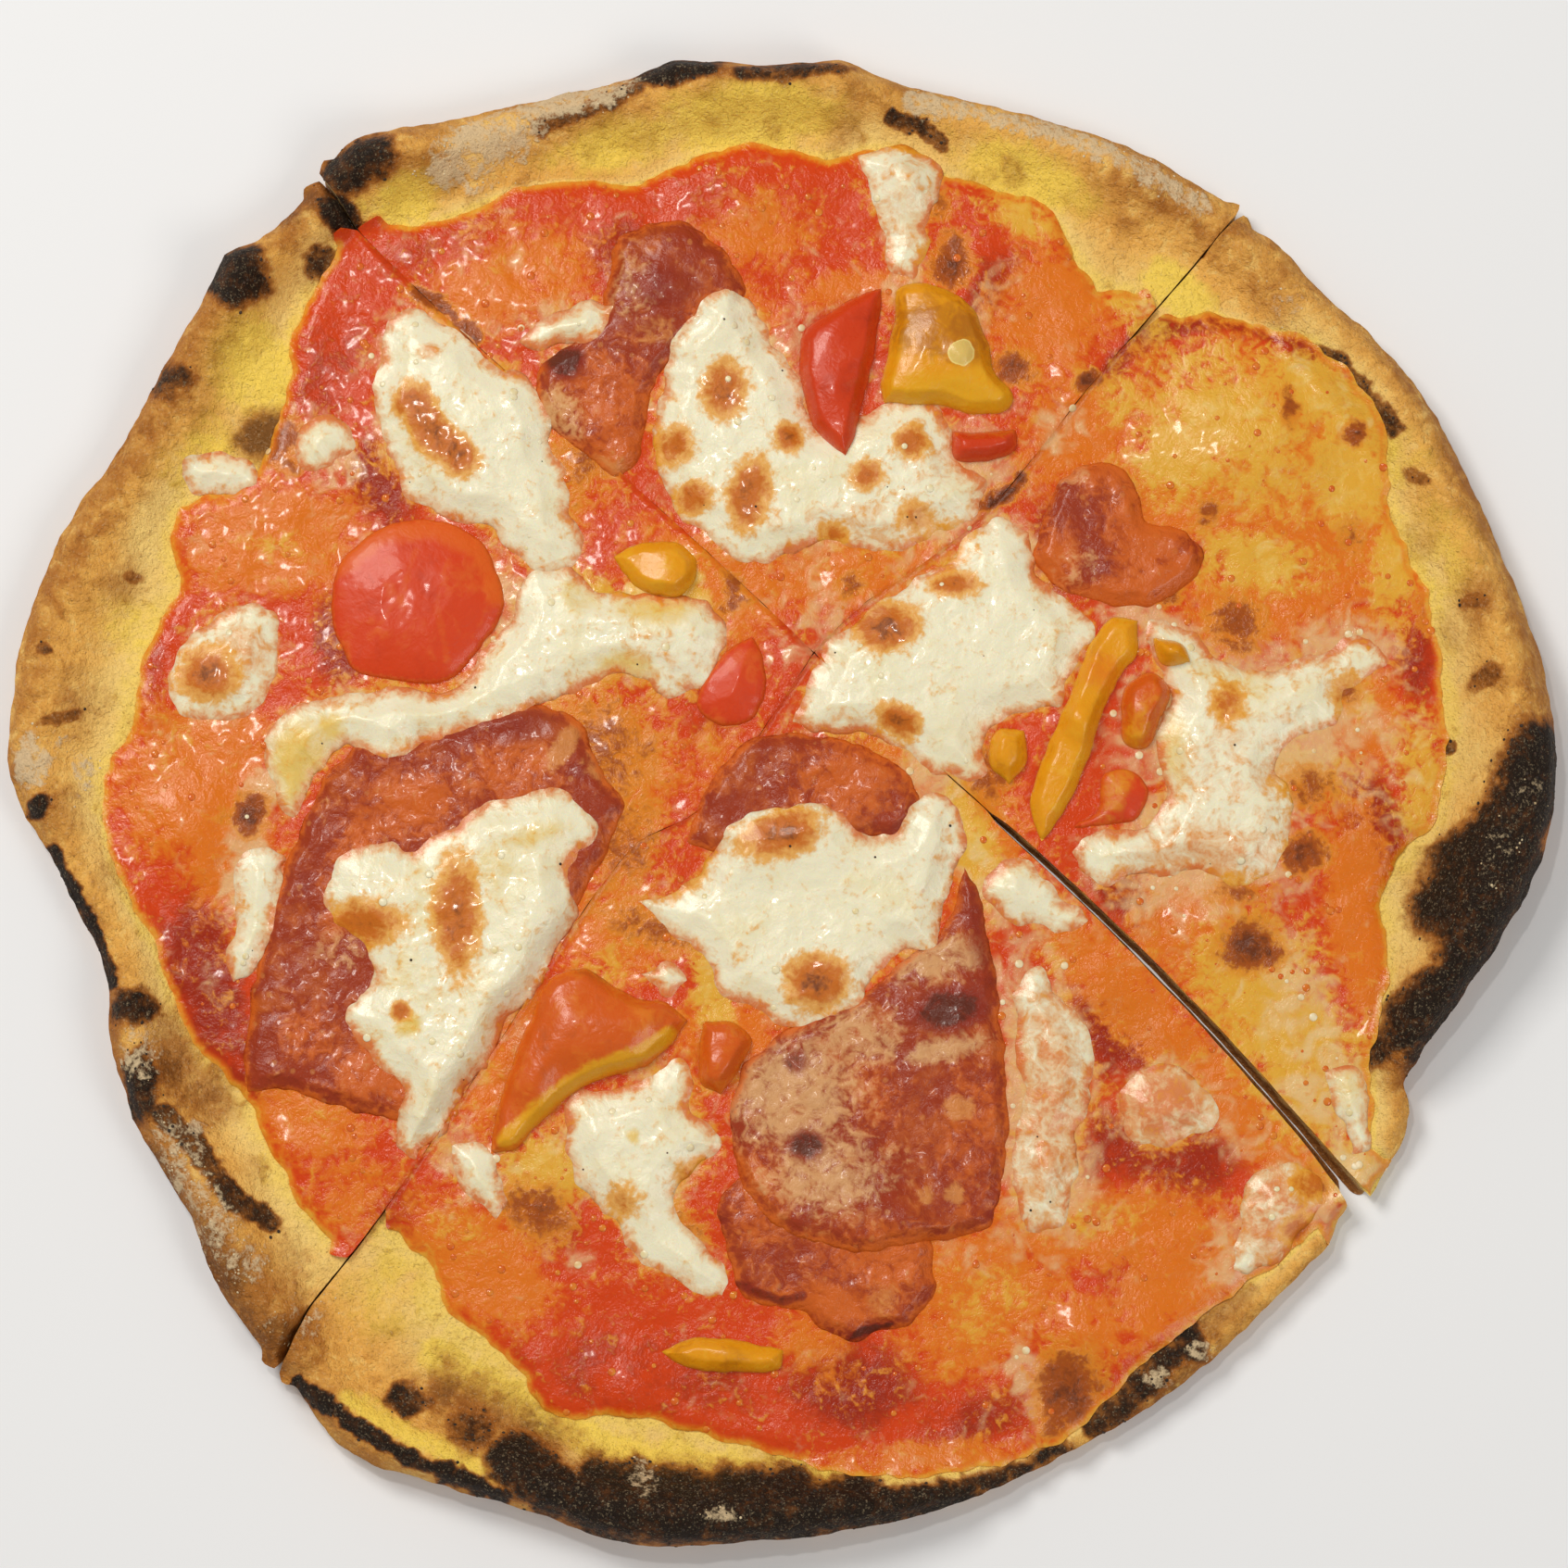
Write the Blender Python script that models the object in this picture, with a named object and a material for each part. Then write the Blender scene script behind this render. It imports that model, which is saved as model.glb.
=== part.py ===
"""A wood-fired diavola pizza, cut in four, lying flat as it comes off the peel.

Every size is in millimetres on a plan drawn from above, +X to the right and +Y away, and becomes
metres where a mesh is made. The build order is the cook's: four slices of crust, the tomato sauce
on each, then salami, melted mozzarella, tomato and peppers, each laid on what is already there.
"""

import math

import bmesh
import bpy
import numpy as np
from mathutils import Matrix, Vector, geometry, noise
from mathutils.bvhtree import BVHTree

MM = 0.001

# --- Driving sizes -------------------------------------------------------------------------------
BASE_THICKNESS = 4.4  # dough under the sauce
SAUCE_THICKNESS = 1.2
SALAMI_THICKNESS = 1.3
CHEESE_THICKNESS = 1.9
TOMATO_THICKNESS = 2.4
PEPPER_THICKNESS = 2.6
LAID_GAP = 0.3  # air left between a piece and what it lies on

# A topping's thickness at its outline, as a share of its full one.
SALAMI_EDGE = 0.8
CHEESE_EDGE = 0.35
TOMATO_EDGE = 0.7
PEPPER_EDGE = 0.7
EDGE_RUN = 3.3  # how far in from its outline a topping reaches its full thickness

SEED_RADIUS = 2.3
SEED_SQUASH = (1.0, 0.94, 0.4)
SEED_RISE = 0.15  # of its middle over the pepper

RIM_STEP = 7.5  # spacing of the sections round the rim
FLOOR_STEP = 11.0  # spacing of points on the flat dough
TOPPING_STEP = 5.5  # spacing of points on a topping
SAUCE_STEP = 7.7  # spacing of points on the sauce's edge
SAUCE_CLEAR = 1.2  # least distance from the sauce's edge to the rim's points
SAMPLE_STEP = 1.2  # spacing of the places where a topping is tested against what it lies on
CREST_SHARE = 0.42  # where the rim is highest, as a share of its width from the outside
EDGE_SHARE = 0.42  # height of the rim's widest line, as a share of its crest
RIM_ROWS = (0.06, 0.2, CREST_SHARE, 0.7, 1.0)  # lines of points round the rim, as shares of its width
TUCK_SHARE = 0.3  # how far the underside curls in below the rim, as a share of its width
MOST_TUCK = 4.5
WALL_STEPS = ((0.35, 0.35), (0.0, 0.65))  # height left and share of the tuck taken, at each step down
RIM_END = 1.25  # where the flat dough's points start, in widths of the rim

RIM_WAVES = (17.0, 1.0)  # wavelength and height of the rim's unevenness
FLOOR_WAVES = (26.0, 0.7)
SHARP_EDGE = math.radians(50)

# --- The four slices -----------------------------------------------------------------------------
TIP = (6.0, 25.5)  # where the two cuts cross

# Each half cut runs from the crossing outwards: its points, then half its gap at the tip and at the rim.
HALF_CUTS = {
    "north_east": ([(13, 33), (36, 50), (57, 75.5), (72, 93), (79, 101)], 0.3, 0.4),
    "north_west": ([(-8, 39), (-33, 62), (-57, 83.5), (-76, 102), (-80, 107.5)], 0.3, 0.3),
    "south_west": ([(-3, 12), (-13, -2), (-28, -11), (-52, -47), (-71, -75), (-85, -93)], 0.3, 0.8),
    "south_east": ([(17, 15), (35, -1), (56, -20.5), (77, -42), (99, -67)], 0.3, 1.3),
}

# Rim stations in turn, anticlockwise: x and y of the outer edge, width of the rim, height of its crest.
RIMS = {
    "top": [
        (82, 107.5, 13, 9), (66, 117, 14, 10.5), (50, 122.8, 12, 9.5), (30, 128, 9, 9),
        (20, 130, 9, 10), (11, 134.3, 13, 13), (-1, 133.2, 13, 12.5), (-18, 134.5, 14, 13.5),
        (-27, 130.8, 13, 11.5), (-45, 126.8, 12, 10.5), (-62, 122.6, 13, 11.5),
        (-76, 120, 15, 15), (-83, 113.3, 12, 12),
    ],
    "left": [
        (-83.9, 111.2, 11, 11), (-93, 102, 12, 12), (-100, 99.3, 13, 14.5), (-104.2, 90.5, 14, 14),
        (-111, 79, 13, 11), (-120, 62, 15, 10), (-129, 49, 17, 10.5), (-136.5, 29.5, 18, 11),
        (-139.3, 12, 18, 11), (-138.8, 2.5, 16, 11.5), (-130.5, -13, 12, 10.5),
        (-121.5, -31, 12, 10), (-119.6, -47.5, 12, 12), (-113, -64, 13, 12),
        (-106.2, -74, 15, 12), (-100, -89, 15, 12.5), (-90.2, -101.9, 12, 11),
    ],
    "bottom": [
        (-88.2, -103.6, 12, 10), (-77, -117.5, 13, 12), (-60, -123.6, 14, 14), (-40, -129.6, 15, 16),
        (-24, -134.7, 16, 17.5), (-4, -133.6, 14, 16), (16, -130.8, 10, 13), (34, -126, 7, 9.5),
        (50, -118.6, 4, 7), (57, -114.5, 4, 6.8), (66, -109.6, 6, 7), (79, -99.5, 6, 7),
        (91, -87.6, 4.5, 6.8), (98.5, -80, 4, 6.8), (101, -74, 4, 6.5),
    ],
    "right": [
        (105.5, -72.3, 5, 5.5), (110, -65, 7, 6), (113.4, -56, 9, 8), (111.6, -51.6, 9, 9),
        (115, -46, 11, 13), (126, -30.5, 16, 18), (135, -15, 20, 20), (139.4, 2, 20, 20), (138, 19, 18, 17),
        (132.5, 37, 16, 14), (124.8, 55.5, 14, 12), (117, 71, 14, 12), (109, 81.3, 14, 12.5),
        (97.5, 91.8, 12, 11), (91.5, 99.2, 12, 10.5), (84.2, 104.2, 12, 10),
    ],
}

# Slice name to the half cuts that start and end its rim.
SLICES = {
    "top": ("north_east", "north_west"),
    "left": ("north_west", "south_west"),
    "bottom": ("south_west", "south_east"),
    "right": ("south_east", "north_east"),
}

# Where the sauce stops short of the rim, from the slice's first cut to its last.
SAUCE_EDGES = {
    "top": [
        (65, 91), (56, 93), (52, 101), (48, 108.5), (37, 111), (28, 114), (18, 118), (8, 116.5),
        (-4, 119), (-15, 117), (-26, 112), (-40, 112.5), (-52, 109), (-64, 104.5), (-78, 104),
    ],
    "left": [
        (-79, 102), (-83, 94), (-88, 86), (-90, 70), (-97, 57), (-111, 51), (-109, 38),
        (-115, 25), (-117, 12), (-122, 4), (-120, -12), (-112, -28), (-106, -43), (-95, -56),
        (-89, -69), (-82, -79), (-74, -84),
    ],
    "bottom": [
        (-75, -78), (-64, -82), (-58, -95), (-48, -101), (-41, -111), (-24, -112), (-6, -117),
        (12, -121.5), (30, -121.5), (47, -117), (58, -109), (70, -97.5), (84, -87.5),
        (95, -79.5), (99, -71),
    ],
    "right": [
        (104, -71), (106.5, -60), (106, -47), (109, -32), (109, -15), (118, -3), (120, 14),
        (117, 34), (110, 52), (109, 66), (98, 80.5), (80, 87), (68, 85), (60, 77.5),
    ],
}

# Air under the dough: x and y of the middle, half widths, height of the dome.
DOUGH_BUBBLES = [
    (86, 64, 25, 22, 3.6), (-108, -4, 12, 17, 2.0), (-96, 46, 13, 9, 1.6), (-6, 108, 20, 10, 1.6),
    (-20, 96, 14, 9, 2.2), (-118, 18, 11, 13, 1.6), (8, -56, 16, 14, 1.2), (-58, 66, 14, 16, 1.0),
    (80, -26, 12, 11, 1.6), (-30, -104, 16, 8, 1.4), (60, -96, 16, 12, 1.4), (24, 16, 18, 16, 1.0),
]

# --- Toppings: outline points anticlockwise or clockwise, as seen from above ----------------------
SALAMI = {
    "salami_left": [
        (-96, -54), (-95.5, -42), (-92.5, -25), (-87.5, -9), (-79, 7), (-66, 10), (-55, 13.5),
        (-45, 16), (-36, 13.5), (-33, 5), (-28, -2), (-31, -9), (-37, -21), (-45, -33),
        (-54, -47), (-62, -57), (-71, -58.5), (-80, -56), (-89, -53),
    ],
    "salami_bottom_under": [
        (-11, -74), (-9.5, -83), (-6.5, -90), (0, -92.5), (5, -93), (10, -98), (19, -96),
        (26, -92.5), (27, -85), (25, -76), (14, -71), (2, -69), (-7, -69),
    ],
    "salami_bottom_over": [
        (33, -13), (36.5, -22), (39, -36), (40.5, -52), (40, -66), (37.5, -77), (28, -80),
        (16, -82), (4, -80), (-5, -74), (-9, -62), (-7, -50), (2, -42), (14, -37), (22, -30),
        (29, -25),
    ],
    "salami_top": [
        (-43.5, 78), (-38, 82), (-33, 87), (-31.5, 93), (-30.5, 99.5), (-25, 104), (-17, 104.5),
        (-10.5, 99), (-6.5, 91.5), (-13, 86), (-20, 79.5), (-24, 71), (-25.5, 62), (-28, 57),
        (-34, 61), (-41, 66), (-44, 71),
    ],
    "salami_right": [
        (47, 48), (51, 57), (58, 61), (64, 57), (66, 50), (74, 47), (76, 41), (70, 35.5),
        (61, 34), (52, 36.5), (46.5, 41),
    ],
    "salami_centre": [
        (-17, -9), (-13, 1), (-5, 10), (6, 10.5), (16, 8), (24.5, 1.5), (22, -7), (10, -8),
        (-4, -10),
    ],
}

CHEESE = {
    "cheese_upper_left": [
        (-71, 86), (-65, 88.5), (-58, 83.5), (-52, 78), (-46, 76), (-43, 68), (-40, 58),
        (-37, 48), (-35, 43), (-41, 41.5), (-47, 43), (-52, 47), (-59, 50), (-65, 52.5),
        (-71, 59), (-73, 68), (-72.5, 78),
    ],
    "cheese_upper_strip": [
        (-47, 82.5), (-43, 86.5), (-36, 89.5), (-29.5, 90), (-31, 86), (-36, 82.5), (-43, 81),
    ],
    "cheese_top_centre": [
        (-16, 87.5), (-9, 91), (-3, 86), (1.5, 78.5), (4, 70), (9, 66), (15, 69), (21, 71.5),
        (28, 70), (31, 65), (32, 60), (37, 57), (36, 52), (29, 47), (20, 44), (10, 46), (2, 43),
        (-8, 42.5), (-14, 47), (-19, 52), (-21, 58), (-24, 65), (-23, 72), (-20, 79),
    ],
    "cheese_top_right": [
        (13.5, 117), (21, 118), (28.5, 116), (29, 110), (26, 103), (25, 94.5), (20, 94.5),
        (18.5, 104), (16, 111),
    ],
    "cheese_left_band": [
        (-92, 11), (-86, 15.5), (-78, 19), (-68, 19.5), (-59, 20.5), (-53, 26), (-48, 35),
        (-43, 41), (-37, 40.5), (-33, 36), (-24, 37), (-14, 36), (-10, 29), (-12.5, 22),
        (-20, 16.5), (-29, 21), (-38, 17.5), (-48, 15), (-58, 11.5), (-70, 7.5), (-79, 9),
        (-84, 3), (-88, -3.5), (-92, 2),
    ],
    "cheese_left_small": [(-107, 60), (-101, 62.5), (-94.5, 58.5), (-98, 54.5), (-106, 55.5)],
    "cheese_left_bubble": [(-87.5, 66), (-82, 69), (-77, 65), (-79, 59.5), (-85, 58.5)],
    "cheese_left_ring": [
        (-111, 20), (-107.5, 27.5), (-99, 34), (-93, 34), (-90, 28), (-91.5, 20), (-97, 15),
        (-105, 13),
    ],
    "cheese_left_tongue": [
        (-97, -13), (-91.5, -9), (-88.5, -12), (-91, -21), (-94, -31), (-97, -34.5), (-100, -30),
        (-98, -22),
    ],
    "cheese_lower_left": [
        (-80, -13), (-72, -9), (-67, -11.5), (-60, -6), (-49, -0.5), (-39, -0.5), (-32, -8),
        (-38, -14.5), (-36, -22), (-43, -33), (-51, -44.5), (-58, -57), (-66, -66), (-69, -61),
        (-68, -53), (-76, -45), (-78.5, -39), (-73, -33), (-75, -27), (-81.5, -22),
    ],
    "cheese_centre_low": [
        (-30, -17), (-22, -19), (-14, -15), (-11, -8.5), (-3, -3.5), (5, -1), (13, -6.5),
        (20, -8), (24.5, -1), (30, -1), (33, -8), (29.5, -18), (28, -26), (18.5, -31), (12, -39),
        (3, -41), (-6, -38.5), (-11, -35), (-17, -26), (-24, -22),
    ],
    "cheese_centre_right": [
        (2, 13), (6, 22), (10.5, 29), (18, 34.5), (26, 39.5), (33, 45), (40, 50), (45.5, 47),
        (47, 39), (56, 31.5), (53.5, 24), (49, 14.5), (41, 14.5), (36, 9), (36.5, 3), (30, 2.5),
        (21, 8), (11, 10.5),
    ],
    "cheese_right": [
        (66.5, 31.5), (74, 28), (83, 23), (93, 24), (101, 27.5), (107.5, 28), (109, 22),
        (101, 18.5), (100, 11), (93, 10), (89.5, 5), (92, -3), (91, -11), (85, -16), (74, -14.5),
        (63, -14), (57.5, -16.5), (53, -10), (60, -6.5), (68, -2.5), (70, 3), (67, 9), (70, 17),
        (67, 25),
    ],
    "cheese_small_centre": [
        (38, -13.5), (43, -11.5), (48, -16), (53, -20), (57.5, -24), (49, -23.5), (41, -22.5), (37.5, -18),
    ],
    "cheese_right_tip": [
        (97.5, -50), (104.5, -50), (105, -58), (105.5, -64.5), (102.5, -66), (99.5, -60),
    ],
    "cheese_small_low": [(-25, -32.5), (-20.5, -30), (-17, -33), (-20, -36.5)],
    "cheese_lower_centre": [
        (-38.5, -56), (-33, -53.5), (-25, -52), (-19, -48), (-15.5, -49), (-16, -56), (-11, -61),
        (-13, -67), (-18.5, -71), (-16.5, -78), (-9.5, -87), (-10, -91), (-17, -87.5),
        (-23.5, -85), (-28, -79), (-34, -73), (-38, -65),
    ],
    "cheese_lower_right": [
        (42.5, -35), (47, -32), (53, -40), (56, -50), (54, -62), (52, -73), (45, -79),
        (41.5, -72), (43, -58), (42, -45),
    ],
    "cheese_bottom_patch": [
        (60.5, -53), (66, -48.5), (73, -51), (78, -56), (74, -62), (67, -64), (62, -61),
    ],
    "cheese_edge_patch": [
        (84, -70), (92, -66), (96.5, -71), (94, -78), (88, -84.5), (81, -87), (83, -78),
    ],
    "cheese_bottom_left": [
        (-59.5, -63), (-54, -63.5), (-49.5, -69), (-49.5, -76.5), (-54, -73), (-59, -68),
    ],
}

TOMATO = {
    "tomato_slice": [
        (-81, 38), (-77, 45), (-69, 49.5), (-61, 49.5), (-54, 45.5), (-50.5, 38), (-50.5, 32),
        (-55, 26), (-60, 20.5), (-70, 20.5), (-77, 22.5), (-80.5, 30),
    ],
    "tomato_wedge": [(-13, 21), (-8.5, 27), (-4.5, 28.5), (-3, 22), (-4, 15), (-9, 12), (-15, 15)],
    "tomato_piece_right": [(53, -6), (57, -3), (58, 3.5), (61.5, 5), (66, 1), (65, -3.5), (59, -5.5)],
}

# Name to its outline, then how far its middle arches up from its edges.
PEPPERS = {
    "pepper_red_top": (
        [(18.5, 92.5), (11, 89), (4, 84), (3.5, 76), (5.5, 68), (11, 61), (13.5, 66), (16, 76), (18, 86)],
        1.6,
    ),
    "pepper_yellow_top": (
        [(21, 92), (27, 93), (34, 89.5), (37.5, 83), (38.5, 77), (43, 71), (36, 69), (28, 71),
         (18, 71.5), (19, 78), (20.5, 86)],
        1.8,
    ),
    "pepper_red_small": (
        [(31, 66), (37, 66), (44, 66.5), (43.5, 63.5), (39, 61), (33, 60.5), (30, 63)],
        0.6,
    ),
    "pepper_yellow_long": (
        [(59.5, 32), (64, 32), (64.5, 26.5), (60.5, 20), (57, 12), (54.5, 4), (51, -3), (47, -8.5),
         (45, -4), (46.5, 5), (50, 13), (53, 20), (56, 27)],
        2.4,
    ),
    "pepper_orange_right": (
        [(62.5, 19.5), (66, 22), (70, 20.5), (69, 15), (66.5, 9), (64, 7), (61.5, 10), (61, 15)],
        1.6,
    ),
    "pepper_yellow_right": ([(67, 28.5), (71, 27.5), (75.5, 24.5), (72.5, 23), (67.5, 24.5)], 0.8),
    "pepper_yellow_middle": ([(39, 11.5), (43, 12.5), (44.5, 8), (43, 2.5), (40.5, 2), (37.5, 6.5)], 0.8),
    "pepper_yellow_centre": (
        [(-30, 43), (-23, 46), (-16, 44.5), (-15.5, 41), (-18.5, 35), (-23, 36.5), (-28, 39)],
        0.8,
    ),
    "pepper_orange_low": (
        [(-41, -33), (-34, -32), (-27, -36.5), (-19, -38), (-16.5, -40.5), (-20, -45.5),
         (-26, -50), (-34, -52), (-42, -58), (-49.5, -65.5), (-52, -63), (-49.5, -53), (-45.5, -42)],
        2.4,
    ),
    "pepper_orange_small": (
        [(-14, -41), (-8.5, -41), (-5, -43.5), (-8, -50.5), (-12, -55), (-14.5, -52), (-14.5, -46)],
        1.4,
    ),
    "pepper_yellow_bottom": (
        [(-21, -100), (-15, -97.5), (-7, -98), (1.5, -100.5), (0, -103), (-9, -103.5), (-18, -102.5)],
        0.8,
    ),
}

SEED_PLACE = (32.5, 79.5)  # a pepper seed stuck to the yellow pepper

# Colour (linear red, green, blue) and roughness of each finish.
FINISHES = {
    "crust": ((0.62, 0.36, 0.13), 0.8),
    "sauce": ((0.62, 0.07, 0.015), 0.3),
    "salami": ((0.42, 0.06, 0.03), 0.35),
    "cheese": ((0.84, 0.76, 0.56), 0.35),
    "tomato": ((0.72, 0.08, 0.02), 0.3),
    "pepper_red": ((0.74, 0.08, 0.02), 0.25),
    "pepper_orange": ((0.78, 0.2, 0.01), 0.25),
    "pepper_yellow": ((0.8, 0.42, 0.01), 0.25),
}


# --- Plan geometry -------------------------------------------------------------------------------
def smooth_curve(points, step, closed=False):
    """Points at about equal steps along a Catmull-Rom curve through the given ones.

    Any columns after x and y, such as a width, are carried along the curve."""
    knots = np.array(points, float)
    if closed:
        knots = np.vstack([knots[-1:], knots, knots[:2]])
    else:
        knots = np.vstack([2 * knots[0] - knots[1], knots, 2 * knots[-1] - knots[-2]])
    share = np.linspace(0, 1, 12, endpoint=False)[:, None]
    runs = []
    for before, start, end, after in zip(knots[:-3], knots[1:-2], knots[2:-1], knots[3:]):
        runs.append(
            start
            + 0.5 * share * (end - before)
            + share**2 * (before - 2.5 * start + 2 * end - 0.5 * after)
            + share**3 * (1.5 * (start - end) + 0.5 * (after - before))
        )
    runs.append(knots[-2][None, :])
    fine = np.vstack(runs)
    along = np.concatenate([[0], np.cumsum(np.hypot(*np.diff(fine[:, :2], axis=0).T))])
    count = max(3 if not closed else 5, round(along[-1] / step) + 1)
    wanted = np.linspace(0, along[-1], count)
    curve = np.stack([np.interp(wanted, along, column) for column in fine.T], axis=1)
    return curve[:-1] if closed else curve


def inside(points, ring):
    """True for each point within the closed ring."""
    x, y = points[:, 0][:, None], points[:, 1][:, None]
    ax, ay = ring[:, 0], ring[:, 1]
    bx, by = np.roll(ax, -1), np.roll(ay, -1)
    spans = (ay > y) != (by > y)
    rise = np.where(by == ay, 1e-12, by - ay)
    return (spans & (x < ax + (y - ay) * (bx - ax) / rise)).sum(axis=1) % 2 == 1


def distance_to_ring(points, ring):
    """Distance from each point to the nearest side of the closed ring."""
    start, side = ring, np.roll(ring, -1, axis=0) - ring
    offset = points[:, None, :] - start[None]
    share = np.clip((offset * side).sum(-1) / (side**2).sum(-1), 0, 1)
    return np.linalg.norm(offset - share[..., None] * side, axis=-1).min(axis=1)


def lattice_within(ring, step, margin):
    """Points of a triangular lattice inside the ring, at least the margin from it."""
    low, high = ring.min(axis=0), ring.max(axis=0)
    rows = np.arange(low[1], high[1], step * math.sqrt(0.75))
    points = [
        (x + (0.5 * step if number % 2 else 0.0), y)
        for number, y in enumerate(rows)
        for x in np.arange(low[0], high[0], step)
    ]
    points = np.array(points)
    points = points[inside(points, ring)]
    return points[distance_to_ring(points, ring) > margin] if len(points) else points


def fill_plan(ring, inner, lines=()):
    """Blender's constrained Delaunay fill of a ring, through inner points and along lines."""
    points = [Vector(p) for p in ring]
    edges = [(i, (i + 1) % len(ring)) for i in range(len(ring))]
    for line in lines:
        first = len(points)
        points += [Vector(p) for p in line]
        edges += [(first + i, first + i + 1) for i in range(len(line) - 1)]
    points += [Vector(p) for p in inner]
    filled = geometry.delaunay_2d_cdt(points, edges, [], 1, 1e-4)
    return np.array([tuple(p) for p in filled[0]]), [tuple(f) for f in filled[2]]


# --- The shape of the dough ----------------------------------------------------------------------
def bearings(points):
    """Angle and distance of each point about the crossing of the cuts."""
    offset = np.asarray(points, float)[:, :2] - TIP
    return np.arctan2(offset[:, 1], offset[:, 0]), np.hypot(offset[:, 0], offset[:, 1])


class Rim:
    """One slice's rim: its outer edge, width and height at any bearing about the tip."""

    def __init__(self, stations):
        fine = smooth_curve(stations, 1.0)
        angle, self.reach = bearings(fine)
        self.middle = math.atan2(np.sin(angle).mean(), np.cos(angle).mean())
        turned = self.turned(angle)
        order = np.argsort(turned)
        self.angle = turned[order]
        self.reach, self.width, self.height = self.reach[order], fine[order, 2], fine[order, 3]

    def turned(self, angle):
        """The angle from the middle of the slice, from -pi to pi."""
        return (angle - self.middle + math.pi) % (2 * math.pi) - math.pi

    def width_at(self, points):
        """Width of the rim at the bearing of each point."""
        angle, _ = bearings(points)
        return np.interp(self.turned(angle), self.angle, self.width)

    def share(self, points):
        """How far in from the outer edge each point is, in widths of the rim, and the crest there."""
        angle, distance = bearings(points)
        turned = self.turned(angle)
        reach = np.interp(turned, self.angle, self.reach)
        width = np.interp(turned, self.angle, self.width)
        return (reach - distance) / width, np.interp(turned, self.angle, self.height)


def rolling(points, wavelength, height):
    """Gentle unevenness of hand-stretched dough."""
    waves = [noise.noise(Vector((x / wavelength, y / wavelength, 0.37))) for x, y in points]
    return height * np.array(waves)


def dough_height(rim, points):
    """Height of the top of the dough at each point of the plan."""
    share, crest = rim.share(points)
    share = np.clip(share, 0, None)
    edge = EDGE_SHARE * crest
    outer = edge + (crest - edge) * np.sqrt(np.clip(1 - ((CREST_SHARE - share) / CREST_SHARE) ** 2, 0, 1))
    fall = np.clip((share - CREST_SHARE) / (1 - CREST_SHARE), 0, 1)
    inner = BASE_THICKNESS + (crest - BASE_THICKNESS) * 0.5 * (1 + np.cos(math.pi * fall))
    height = np.where(share < CREST_SHARE, outer, inner)
    on_rim = np.clip(1.3 - share, 0, 1)
    height += rolling(points, *RIM_WAVES) * on_rim * np.clip(share / 0.2, 0, 1)
    height += rolling(points, *FLOOR_WAVES) * (1 - on_rim)
    for x, y, half_x, half_y, rise in DOUGH_BUBBLES:
        spread = np.hypot((points[:, 0] - x) / half_x, (points[:, 1] - y) / half_y)
        height += rise * 0.5 * (1 + np.cos(math.pi * np.clip(spread, 0, 1)))
    return height


def cut_edge(half_cut, corner, side, width):
    """A slice's edge along one half cut, from near the tip to the rim's corner.

    side is +1 for the slice on the cut's left, looking outwards from the tip, and -1 for its right."""
    route, tip_gap, rim_gap = HALF_CUTS[half_cut]
    path = smooth_curve([TIP] + route, 3.0)
    ahead = np.gradient(path, axis=0)
    ahead /= np.linalg.norm(ahead, axis=1, keepdims=True)
    gap = np.linspace(tip_gap, rim_gap, len(path))[:, None]
    edge = path + side * gap * np.stack([-ahead[:, 1], ahead[:, 0]], axis=1)
    whole = np.vstack([edge[1:], [corner]])
    along = np.concatenate([[0], np.cumsum(np.hypot(*np.diff(whole, axis=0).T))])
    flat_end = along[-1] - width
    stops = list(np.linspace(0, flat_end, max(4, round(flat_end / FLOOR_STEP) + 1)))
    stops += [along[-1] - width * share for share in reversed(RIM_ROWS[:-1])]
    return np.stack([np.interp(stops, along, whole[:, k]) for k in (0, 1)], axis=1)


def slice_ring(name):
    """A slice's outline on the plan, from its tip out along one cut, round the rim and back."""
    start, end = SLICES[name]
    stations = RIMS[name]
    outer = smooth_curve(stations, RIM_STEP)[:, :2]
    first = cut_edge(start, outer[0], 1, stations[0][2])
    last = cut_edge(end, outer[-1], -1, stations[-1][2])
    middle = (first[0] + last[0]) / 2 - TIP
    tip = TIP + middle * (0.45 / np.linalg.norm(middle))
    return np.vstack([[tip], first, outer, last[::-1]])


# --- Meshes --------------------------------------------------------------------------------------
def finish_of(name):
    """The material whose name starts the object's name."""
    key = next(finish for finish in FINISHES if name.startswith(finish))
    material = bpy.data.materials.get(key)
    if material is None:
        (red, green, blue), roughness = FINISHES[key]
        material = bpy.data.materials.new(key)
        material.use_nodes = True
        shader = material.node_tree.nodes["Principled BSDF"]
        shader.inputs["Base Color"].default_value = (red, green, blue, 1)
        shader.inputs["Roughness"].default_value = roughness
        shader.inputs["Metallic"].default_value = 0.0
    return material


def piece_object(name, bm):
    """Turns a bmesh in millimetres into a named object whose origin is at the piece's middle."""
    bmesh.ops.remove_doubles(bm, verts=bm.verts, dist=1e-3)
    bmesh.ops.triangulate(bm, faces=bm.faces)
    bmesh.ops.recalc_face_normals(bm, faces=bm.faces)
    corners = np.array([v.co for v in bm.verts])
    middle = Vector((corners.min(axis=0) + corners.max(axis=0)) / 2)
    bm.transform(Matrix.Scale(MM, 4) @ Matrix.Translation(-middle))
    mesh = bpy.data.meshes.new(name)
    bm.to_mesh(mesh)
    bm.free()
    mesh.shade_smooth()
    mesh.set_sharp_from_angle(angle=SHARP_EDGE)
    mesh.materials.append(finish_of(name))
    piece = bpy.data.objects.new(name, mesh)
    piece.location = middle * MM
    piece.parent = PIZZA
    COLLECTION.objects.link(piece)
    return piece


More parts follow.
